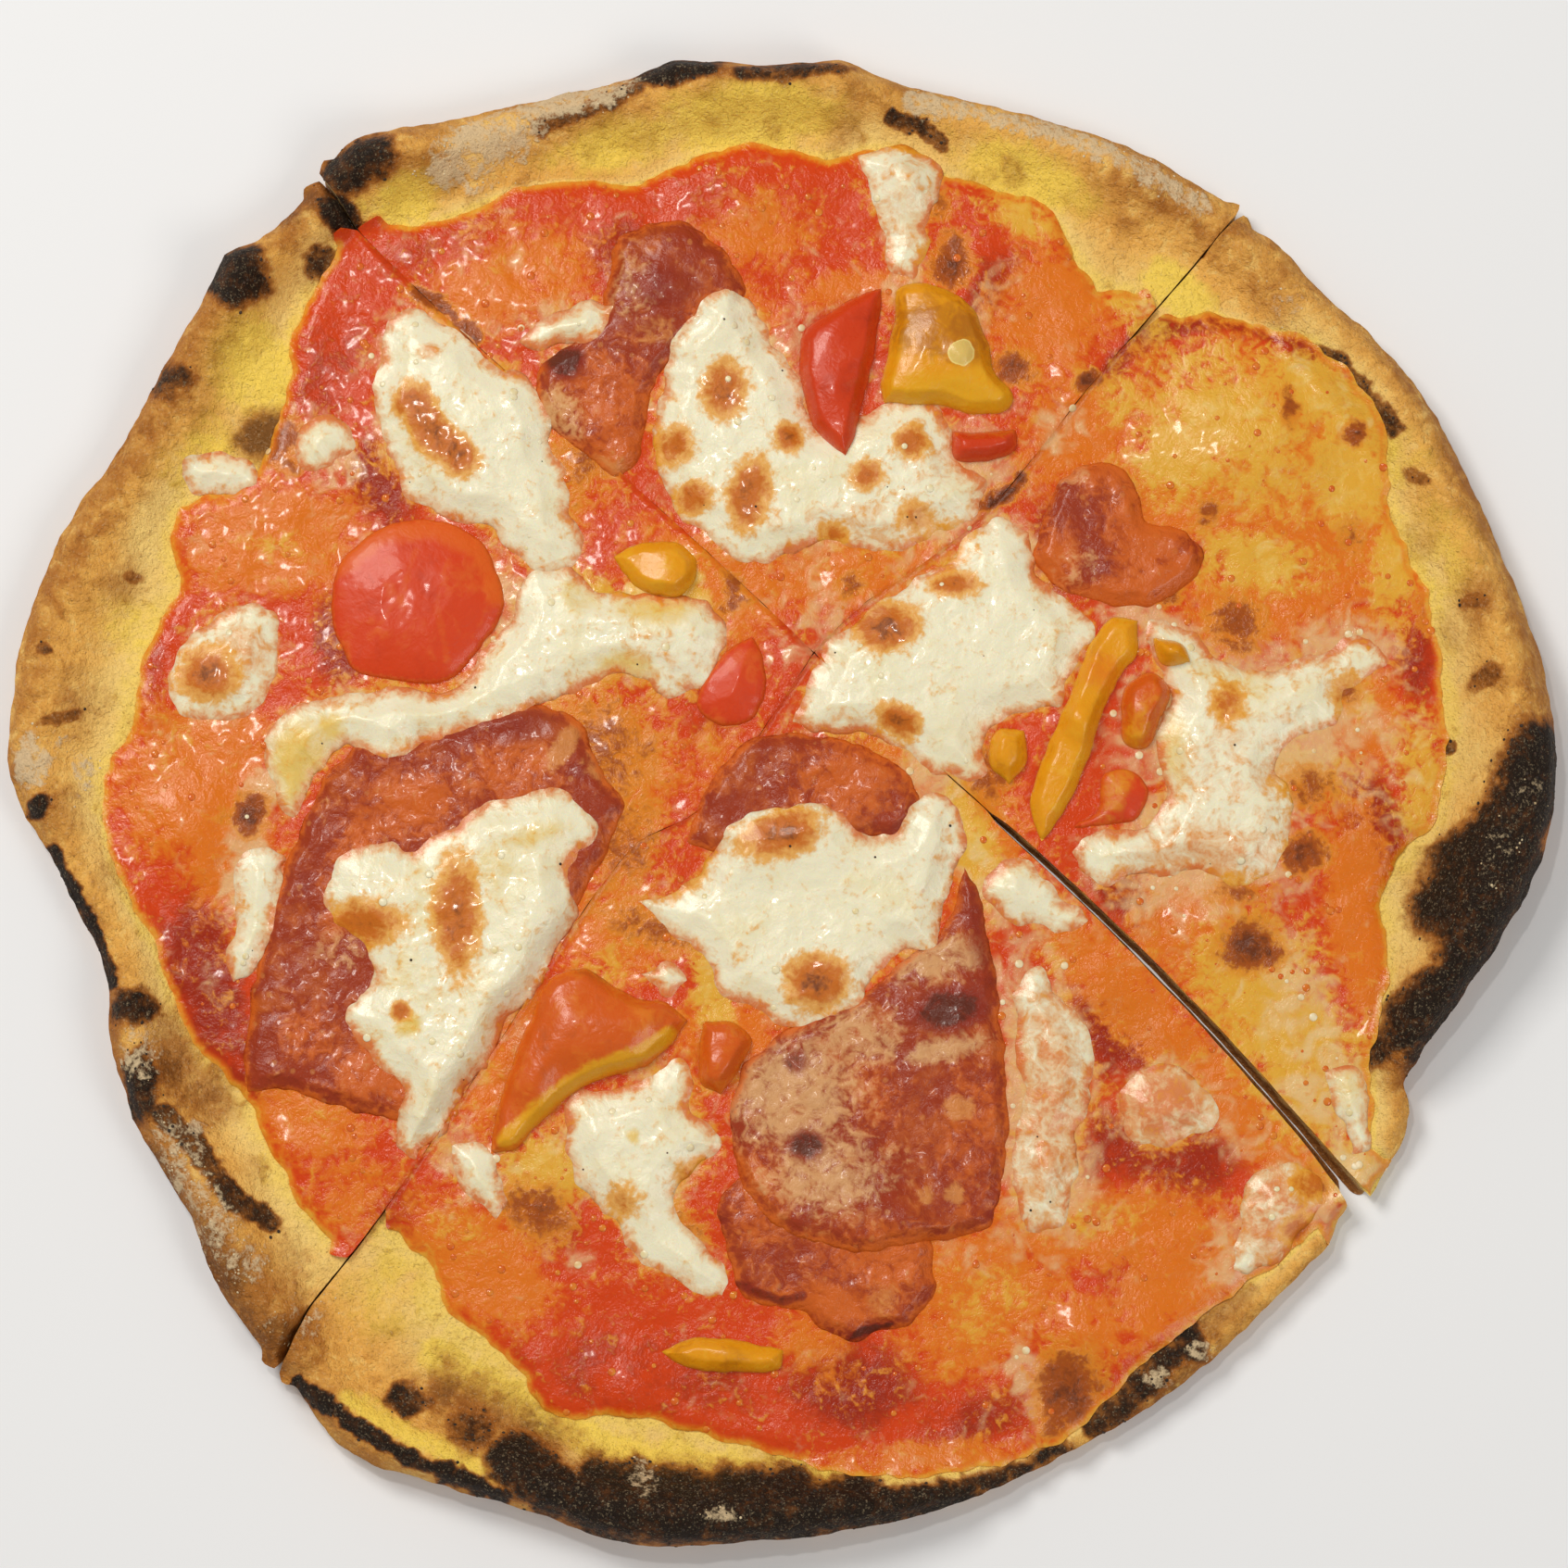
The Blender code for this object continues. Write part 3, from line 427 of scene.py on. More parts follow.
def curve_through(knots: Array, step: float, looped: bool, samples: int = 24) -> Array:
    """A smooth curve through points.

    Args:
        knots: the points, in order.
        step: about how far apart the new points are.
        looped: whether the curve runs on from the last point to the first.
        samples: how finely it is worked out between two of the points.

    Returns:
        The new points; those of an open curve include both ends.
    """
    if looped:
        knots = np.vstack([knots[-1:], knots, knots[:2]])
    else:
        knots = np.vstack([2 * knots[0] - knots[1], knots, 2 * knots[-1] - knots[-2]])
    share = np.linspace(0, 1, samples, endpoint=False)[:, None]
    runs = [
        start
        + 0.5 * share * (end - before)
        + share**2 * (before - 2.5 * start + 2 * end - 0.5 * after)
        + share**3 * (1.5 * (start - end) + 0.5 * (after - before))
        for before, start, end, after in zip(knots[:-3], knots[1:-2], knots[2:-1], knots[3:])
    ]
    fine = np.vstack(runs + [knots[-2][None]])
    along = np.concatenate([[0], np.cumsum(np.hypot(*np.diff(fine, axis=0).T))])
    wanted = np.linspace(0, along[-1], max(4, round(along[-1] / step) + 1))
    curve = np.stack([np.interp(wanted, along, column) for column in fine.T], axis=1)
    return curve[:-1] if looped else curve


def fine_ring(outline: Array, step: float, corner: float = 38.0) -> Array:
    """A solid's outline with smooth curves between its corners.

    Args:
        outline: the closed outline.
        step: spacing of the new points.
        corner: a turn of more than this many degrees stays a corner.

    Returns:
        The new closed outline.
    """
    before, after = outline - np.roll(outline, 1, axis=0), np.roll(outline, -1, axis=0) - outline
    turn = np.arctan2(crossed(before, after), (before * after).sum(axis=1))
    corners = np.flatnonzero(np.abs(turn) > math.radians(corner))
    if not len(corners):
        return curve_through(outline, step, True)
    outline = np.roll(outline, -corners[0], axis=0)
    stops = list(corners - corners[0]) + [len(outline)]
    looped = closed(outline)
    runs = [curve_through(looped[a : b + 1], step, False)[:-1] for a, b in zip(stops[:-1], stops[1:])]
    return np.vstack(runs)


def outward(ring: Array, reach: int) -> Array:
    """The outward direction at each point of an anticlockwise ring, from neighbours so many points away."""
    ahead = np.roll(ring, -reach, axis=0) - np.roll(ring, reach, axis=0)
    away = np.stack([ahead[:, 1], -ahead[:, 0]], axis=1)
    return away / np.maximum(np.linalg.norm(away, axis=1, keepdims=True), 1e-9)


def calmed(ring: Array, reach: int) -> Array:
    """A ring with each point at the mean of its neighbours up to so many points away."""
    return np.mean([np.roll(ring, shift, axis=0) for shift in range(-reach, reach + 1)], axis=0)


def start_on_cut(ring: Array, gap: Array) -> tuple[Array, Array]:
    """A ring, and its points' distances to the next slice, turned to start on a cut."""
    start = np.flatnonzero(gap < CUT_REACH)[0]
    return np.roll(ring, -start, axis=0), np.roll(gap, -start)


def uneven(ring: Array, waves: Waves, wavelength: float, height: Union[float, Array]) -> Array:
    """A closed outline pushed in and out along its own normals.

    Args:
        ring: the outline, anticlockwise.
        waves: the unevenness.
        wavelength: its largest size.
        height: how far it pushes, for all points or for each.

    Returns:
        The uneven outline.
    """
    return ring + outward(ring, 2) * (height * waves.layered(ring, wavelength, 3))[:, None]


def untangled(ring: Array, longest: int = 60) -> Array:
    """A closed outline without the small loops in which it crosses itself.

    Args:
        ring: the outline.
        longest: how many points a loop may have.

    Returns:
        The outline with as many points, those of each loop spread along a straight line instead.
    """
    ring, count = ring.copy(), len(ring)
    for step in 3 * list(range(2, min(longest, count // 3))):
        along, gap = np.roll(ring, -1, axis=0) - ring, np.roll(ring, -step, axis=0) - ring
        far = np.roll(along, -step, axis=0)
        turn = crossed(along, far)
        turn = np.where(np.abs(turn) < 1e-12, 1e-12, turn)
        here, there = crossed(gap, far) / turn, crossed(gap, along) / turn
        for first in np.flatnonzero((here >= 0) & (here <= 1) & (there >= 0) & (there <= 1)):
            before, after = ring[first], ring[(first + step + 1) % count]
            share = np.arange(1, step + 1)[:, None] / (step + 1)
            ring[(first + np.arange(1, step + 1)) % count] = before + share * (after - before)
    return ring


def lattice(ring: Array, step: float, margin: float) -> Array:
    """Points of a triangular lattice inside a closed outline, at least the margin from it."""
    low, high = ring.min(axis=0), ring.max(axis=0)
    columns = np.arange(low[0] - step, high[0] + step, step)
    rows = [np.empty((0, 2))]
    for count, y in enumerate(np.arange(low[1] + 0.4 * step, high[1], step * math.sqrt(0.75))):
        x = columns + 0.5 * step * (count % 2)
        x = x[inside_row(ring, x, y)]
        rows.append(np.column_stack([x, np.full(len(x), y)]))
    plan = np.vstack(rows)
    return plan[distance_to_line(plan, closed(ring), 1.5 * margin) > margin]


def filled(ring: Array, inner: Array) -> tuple[Array, Array]:
    """Fills a ring through inner points with Blender's constrained Delaunay triangles.

    Args:
        ring: the closed outline.
        inner: points inside it.

    Returns:
        The points, the ring's first and in order, and the triangles, anticlockwise.
    """
    points = [Vector(p) for p in np.vstack([ring, inner]).tolist()]
    edges = [(i, (i + 1) % len(ring)) for i in range(len(ring))]
    fill = geometry.delaunay_2d_cdt(points, edges, [], 1, 1e-6)
    plan = np.array([tuple(p) for p in fill[0]])
    return plan, np.array([tuple(face) for face in fill[2]])


# --- Fine meshes ----------------------------------------------------------------------------------
def linked(name: str, data: bpy.types.ID) -> bpy.types.Object:
    """A new object of a mesh, a light or a camera, in the scene."""
    made = bpy.data.objects.new(name, data)
    bpy.context.scene.collection.objects.link(made)
    return made


@dataclass
class Shell:
    """A closed fine mesh: points in millimetres, triangles, and named numbers for each point."""

    points: Array
    triangles: Array
    crown: int = 0  # how many of the points, the first ones, are its top
    traits: dict[str, Array] = field(default_factory=dict)

    def on_top(self) -> Array:
        """Which of the points are on its top."""
        return np.arange(len(self.points)) < self.crown

    def joined(self, other: "Shell") -> "Shell":
        """Both shells as one, with the traits that they share."""
        traits = {name: np.concatenate([self.traits[name], other.traits[name]]) for name in self.traits}
        points = np.vstack([self.points, other.points])
        return Shell(points, np.vstack([self.triangles, other.triangles + len(self.points)]), 0, traits)

    def piece(self, name: str, material: bpy.types.Material, sharp: float = 60.0) -> bpy.types.Object:
        """Makes the Blender object.

        Args:
            name: the piece's name.
            material: its finish.
            sharp: edges that turn by more than this many degrees stay crisp.

        Returns:
            The object, at the origin, with its place in its mesh.
        """
        used = np.unique(self.triangles)
        place = np.full(len(self.points), -1)
        place[used] = np.arange(len(used))
        mesh = bpy.data.meshes.new(name)
        mesh.from_pydata((self.points[used] * MM).tolist(), [], place[self.triangles].tolist())
        for trait, values in self.traits.items():
            store = mesh.attributes.new(trait, "FLOAT", "POINT")
            store.data.foreach_set("value", values[used].astype(np.float32))
        mesh.materials.append(material)
        mesh.shade_smooth()
        mesh.set_sharp_from_angle(angle=math.radians(sharp))
        mesh.update()
        return linked(name, mesh)


def closed_shell(
    ring: Array, inner: Array, top: Field, rows: list[tuple[Array, Array]], base: Field, base_step: float
) -> Shell:
    """A closed mesh from an outline: a fine top, rows of points down its side, and a coarse base.

    Args:
        ring: the outline of the top, anticlockwise.
        inner: the top's inner points.
        top: gives the height of the top at each place.
        rows: the places and heights of each row below the outline, the last being the base's edge.
        base: gives the height of the base at each place.
        base_step: spacing of the base's inner points.

    Returns:
        The shell.
    """
    rows[-1] = (untangled(rows[-1][0]), rows[-1][1])  # moving a row inwards can make it cross itself
    plan, faces = filled(ring, inner)
    points, triangles = [np.column_stack([plan, top(plan)])], [faces]
    upper, count = np.arange(len(ring)), len(plan)
    following = np.roll(np.arange(len(ring)), -1)
    for row, heights in rows:
        lower = count + np.arange(len(ring))
        points.append(np.column_stack([row, heights]))
        count += len(ring)
        triangles.append(np.column_stack([upper, lower, lower[following]]))
        triangles.append(np.column_stack([upper, lower[following], upper[following]]))
        upper = lower
    edge = rows[-1][0]
    floor, faces = filled(edge, lattice(edge, base_step, 0.6 * base_step))
    inside = floor[len(edge) :]
    points.append(np.column_stack([inside, base(inside)]))
    place = np.concatenate([upper, count + np.arange(len(inside))])
    triangles.append(place[faces][:, ::-1])
    return Shell(np.vstack(points), np.vstack(triangles), len(plan))


# --- Shader maths ---------------------------------------------------------------------------------
class Signal:
    """A number that varies over a surface. Arithmetic on it adds Math nodes."""

    def __init__(self, recipe: "Recipe", socket: bpy.types.NodeSocket) -> None:
        """Wraps an output socket of the recipe's tree."""
        self.recipe, self.socket = recipe, socket

    def join(self, operation: str, first: object, second: object) -> "Signal":
        """The result of one Math node."""
        return self.recipe.number("ShaderNodeMath", {"operation": operation}, {0: first, 1: second})

    def __add__(self, other: object) -> "Signal":
        """The sum."""
        return self.join("ADD", self, other)

    def __sub__(self, other: object) -> "Signal":
        """The difference."""
        return self.join("SUBTRACT", self, other)

    def __rsub__(self, other: object) -> "Signal":
        """The difference from a number."""
        return self.join("SUBTRACT", other, self)

    def __mul__(self, other: object) -> "Signal":
        """The product."""
        return self.join("MULTIPLY", self, other)

    __radd__ = __add__
    __rmul__ = __mul__

    def rising(self, low: float, high: float) -> "Signal":
        """A smooth step from 0 at low to 1 at high; low may be the larger."""
        settings = {"interpolation_type": "SMOOTHSTEP"}
        return self.recipe.number("ShaderNodeMapRange", settings, {"Value": self, 1: low, 2: high})


def feed(tree: bpy.types.NodeTree, socket: bpy.types.NodeSocket, value: object) -> None:
    """Links a Signal or a socket to an input, or sets the input to a number or a colour."""
    if isinstance(value, Signal):
        value = value.socket
    if isinstance(value, bpy.types.NodeSocket):
        tree.links.new(value, socket)
    elif value is not None:
        socket.default_value = (*value, 1.0) if socket.type == "RGBA" else value


def add_node(
    tree: bpy.types.NodeTree, kind: str, settings: dict[str, object], inputs: dict[object, object]
) -> bpy.types.Node:
    """Adds one node.

    Args:
        tree: the tree that it is added to.
        kind: the node's type.
        settings: its properties, which are set first.
        inputs: a value, a Signal or a socket for each input, by name or by number.

    Returns:
        The node.
    """
    made = tree.nodes.new(kind)
    for name, value in settings.items():
        setattr(made, name, value)
    for name, value in inputs.items():
        feed(tree, made.inputs[name], value)
    return made


class Recipe:
    """One finish's node tree, and the few moves that every finish here is made of."""

    def __init__(self, name: str) -> None:
        """Starts a material with its shader and the piece's own coordinates in millimetres."""
        self.material = bpy.data.materials.new(name)
        self.material.use_nodes = True
        self.tree = self.material.node_tree
        self.skin = self.tree.nodes["Principled BSDF"]
        self.node = partial(add_node, self.tree)
        spot = self.node("ShaderNodeTexCoord", {}, {}).outputs["Object"]
        scaled = self.node("ShaderNodeVectorMath", {"operation": "SCALE"}, {0: spot, "Scale": 1 / MM})
        self.place = scaled.outputs[0]

    def number(self, kind: str, settings: dict[str, object], inputs: dict[object, object]) -> Signal:
        """Adds a node and takes its first output as a number."""
        return Signal(self, self.node(kind, settings, inputs).outputs[0])

    def trait(self, name: str) -> Signal:
        """A number stored on the mesh."""
        return Signal(self, self.node("ShaderNodeAttribute", {"attribute_name": name}, {}).outputs["Fac"])

    def noise(
        self, size: float, detail: float = 2.0, warp: float = 0.0, seed: float = 0.0, rough: float = 0.5
    ) -> Signal:
        """Cloudy noise about nought, mostly within -1 and 1.

        Args:
            size: its scale in millimetres.
            detail: how many finer layers it has.
            warp: how far it is distorted.
            seed: which of many such patterns.
            rough: how strong the finer layers are.

        Returns:
            The noise.
        """
        inputs = {"Vector": self.place, "W": seed, "Scale": 1 / size, "Detail": detail}
        inputs |= {"Distortion": warp, "Roughness": rough}
        return self.number("ShaderNodeTexNoise", {"noise_dimensions": "4D"}, inputs) * 5.0 - 2.5

    def cells(self, size: float, seed: float) -> Signal:
        """Distance from the nearest cell's middle, with the cells' size in millimetres."""
        inputs = {"Vector": self.place, "W": seed, "Scale": 1 / size}
        made = self.node("ShaderNodeTexVoronoi", {"voronoi_dimensions": "4D"}, inputs)
        return Signal(self, made.outputs["Distance"])

    def layered(self, first: object, *coats: tuple[object, object]) -> object:
        """A colour with others over it, each given as its share from 0 to 1 and itself."""
        for share, colour in coats:
            mix = self.node("ShaderNodeMix", {"data_type": "RGBA"}, {0: share, 6: first, 7: colour})
            first = mix.outputs[2]
        return first

    def bumps(self, *layers: tuple[Signal, float]) -> Optional[bpy.types.NodeSocket]:
        """A surface normal from layers of relief, each with its height in millimetres."""
        normal = None
        for height, rise in layers:
            inputs = {"Height": height, "Distance": rise * MM, "Strength": 1.0, "Normal": normal}
            normal = self.node("ShaderNodeBump", {}, inputs).outputs[0]
        return normal

    def finish(
        self, colour: object, roughness: object, normal: object, **constants: object
    ) -> bpy.types.Material:
        """Feeds the shader.

        Args:
            colour: base colour.
            roughness: a number or a Signal.
            normal: the bumped normal.
            constants: other sockets of the shader, their names with _ for spaces.

        Returns:
            The finished material.
        """
        for name, value in {"Base Color": colour, "Roughness": roughness, "Normal": normal}.items():
            feed(self.tree, self.skin.inputs[name], value)
        for name, value in constants.items():
            self.skin.inputs[name.replace("_", " ")].default_value = value
        return self.material


# --- Marks, read off the photograph's plan --------------------------------------------------------
class Mark(Enum):
    """What a mark on a piece is; the value names the trait that its finish reads."""

    CHAR = "char"
    BROWN = "brown"
    GOLD = "gold"
    FLOUR = "flour"
    DEEP = "deep"
    ORANGE = "orange"
    YELLOW = "yellow"
    MILKY = "milky"
    TOAST = "toast"
    PINK = "pink"
    DARK = "dark"
    FAT = "fat"
    SEED = "seed"


SOFTNESS = {  # half width of a mark's edge as a share of its size, 0.6 where it isn't given
    Mark.CHAR: 0.4,
    Mark.BROWN: 0.9,
    Mark.GOLD: 0.8,
    Mark.FLOUR: 0.5,
    Mark.DEEP: 0.9,
    Mark.ORANGE: 0.9,
    Mark.YELLOW: 0.8,
    Mark.MILKY: 0.7,
    Mark.PINK: 0.8,
    Mark.SEED: 0.15,
    Mark.TOAST: 0.95,
}


def placed(table: dict[Mark, list[Row]]) -> dict[Mark, list[Blot]]:
    """The marks of a table of rows."""
    marks = {mark: [] for mark in table}
    for mark, rows in table.items():
        for row in rows:
            marks[mark] += streak(*row) if isinstance(row[0], list) else [Blot(*row)]
    return marks


OPEN_CUT = streak([(40, -10), (58, -27), (80, -48), (104, -72)], 6)  # the cut that stayed open


def shut(plan: Array) -> Array:
    """How far a cut has closed again at each place, from 0 to 1."""
    return 1 - painted(OPEN_CUT, plan, nought(plan), 0.3)


CRUST_MARKS = placed({
    Mark.CHAR: [
        (-76.8, 114, 8, 4.4, 1, 25), (-79.8, 104.7, 5.5, 3, 1, -45), (-82.4, 96.4, 4.5, 3, 0.75),
        (-98.3, 93.8, 5.8), (-110.5, 74.6, 4.5, 4, 0.6), (-132.4, 25.6, 1.5, 1.2, 0.6, 30),
        (-117, 39.4, 2.5, 1.2, 0.42), (-129.2, 13.5, 4.5, 1.2, 0.5, 15), (-133, -2.6, 2.2),
        ([(-130.5, -11.5), (-125, -22), (-119.9, -34)], 1.7), (-116, -38.5, 4.5, 3.5, 0.8),
        (-114.2, -52.8, 3.4, 6.5, 0.9), ([(-110, -58), (-104, -64), (-97, -73), (-91, -77)], 2, 0.75),
        (-66.2, -108.5, 4, 3, 0.9, -20),
        ([(-86, -105.5), (-79.8, -110.2), (-72.8, -114.7), (-65, -119), (-56.7, -122.6),
          (-49, -125.6)], 1.6),
        (-55, -113, 4, 5, 0.62, 20), ([(-47, -119), (-40, -124)], 5),
        ([(-32, -126), (-22, -127.5), (-10, -127.5), (2, -127.5)], 7.2), ([(4, -128), (14, -127)], 5.2),
        ([(16, -127.5), (30, -126), (42, -123.5), (50, -119)], 3.4), (72.1, -97.7, 3.5, 5, 1, 30),
        ([(57, -113), (63.2, -107.3), (69, -101)], 3, 0.9),
        ([(122, -14), (128, -10), (133, -2), (136, 6)], 6.5),
        ([(121, -20), (126, -26), (122, -36), (116, -42)], 8),
        ([(133, -16), (130, -26), (125, -36), (118, -46)], 7), (106.5, -45.5, 5.5, 3.5, 0.85, 30),
        (126.3, 20.2, 3.5, 2, 0.46, 45), (124.1, 34, 2.2, 1.6, 0.42, 20), (119.6, 8, 1.2),
        ([(95.2, 81), (102.3, 76.5), (106.7, 71.4), (110.6, 65.6)], 1.6, 0.58),
        (104.8, 65.6, 1.8, 1.4, 0.55), (101.6, 64.4, 1.4, 1, 0.8), (114.4, 57.3, 2.4, 1.2, 0.42, -40),
        (-18.5, 131.9, 8, 3, 1, 12), (1.3, 131.6, 11, 2.2, 0.7, 3),
        ([(-43.6, 121.4), (-33, 125.5), (-25.6, 128.8)], 1.6, 0.62), (30, 109, 2.8, 2, 0.5, -30),
        ([(20.5, 123.6), (25, 122), (29.5, 118.7)], 1.4, 0.8),
    ],
    Mark.BROWN: [
        (-93.4, 65.2, 5.4, 4.4, 1.3), ([(-89, 104), (-84, 108)], 5, 0.9),
        ([(-104, 86), (-112, 72), (-118, 62)], 7, 0.7),
        ([(-122, 52), (-131, 36), (-134, 20), (-136, 6)], 5, 0.55), (-119, 38, 5, 4, 0.6),
        (-128, 17, 6, 6, 0.6), ([(-134, -14), (-127, -30), (-121, -42), (-119, -56)], 4, 0.7),
        ([(-115, -66), (-107, -78), (-99, -88), (-90, -97)], 9), (-88, -88, 7, 9, 0.55, 30),
        ([(-60, -107), (-50, -112), (-42, -117)], 6, 0.85), (-13, -123, 20, 5, 0.5),
        ([(62, -113), (74, -98), (80, -90)], 5, 0.8),
        ([(113, -50), (122, -40), (131, -24), (136, -4)], 7, 0.8),
        ([(134.5, 10), (135.5, 24), (132, 36)], 6, 0.55),
        ([(128, 48), (121, 62), (112, 78), (100, 90), (88, 99)], 5, 0.5), (90, 90, 8, 5, 0.5, -45),
        ([(62, 114), (72, 107), (80, 101)], 5, 0.55), (34, 112, 8, 6, 0.35),
        ([(-22, 130.5), (-8, 131.5), (8, 132)], 3, 0.6), (-103, -54, 7, 6, 0.85), (-109, -48, 5, 8),
        (-131, -4, 5, 8, 0.7), (-72, -98, 13, 9, 0.34, -45), (125, 34, 4, 6, 0.8, -15),
        ([(-48, 118), (-38, 122), (-26, 125)], 3.5, 0.5), (-62, 112, 5, 5, 0.5), (-104, 56, 8, 5, 0.3),
    ],
    Mark.GOLD: [
        (-6, 123.5, 15, 5, 1, 3), (-30, 119, 12, 4, 0.8, 12), (-69, 107.5, 8, 4, 0.9, 30),
        (44, 113, 12, 5, 0.9, -22), (72, 92, 7, 4, 1, -42), (-95, 78, 8, 9, 0.8, 20),
        (-104, 62, 9, 5, 0.6, 30), (-118, 30, 6, 6, 0.5), (-71, -91, 8, 8, 0.45),
        ([(-62, -101), (-50, -107), (-40, -113), (-28, -118), (-10, -121), (8, -122)], 3.2, 0.9),
        ([(-76, -109), (-64, -116), (-50, -121)], 2.2, 0.75), (118, 40, 8, 12, 0.4), (112, 60, 6, 6, 0.4),
    ],
    Mark.FLOUR: [
        (-52, 119, 11, 6, 0.9, 20), (-38, 126.5, 13, 3.4, 0.9, 15), (-58, 113, 7, 4, 0.9),
        ([(24, 126), (36, 124.5), (50, 120.5), (64, 114.5), (76, 107)], 2.6, 0.8),
        (-134.5, 5.5, 4, 5.5, 0.95, 10), (-125, 3.5, 2.5, 5, 0.75, 10), (-130, 9, 3, 2.5, 0.5),
        (-114.4, -46.2, 4, 5, 0.7), ([(-108, -62), (-104, -74), (-96, -84)], 5, 0.65),
        (-86, -94, 6, 5, 0.5, 30), (67.6, -104.7, 3, 2, 0.8), (74.7, -99.6, 3, 2, 0.8),
        ([(126, -16), (130, -8), (134, 0)], 3, 0.3), (92, 88, 6, 3, 0.4, -45),
        (-24.4, -123.3, 2.6, 4, 0.6), (-10.9, -128.5, 4, 1.5, 0.6),
    ],
})

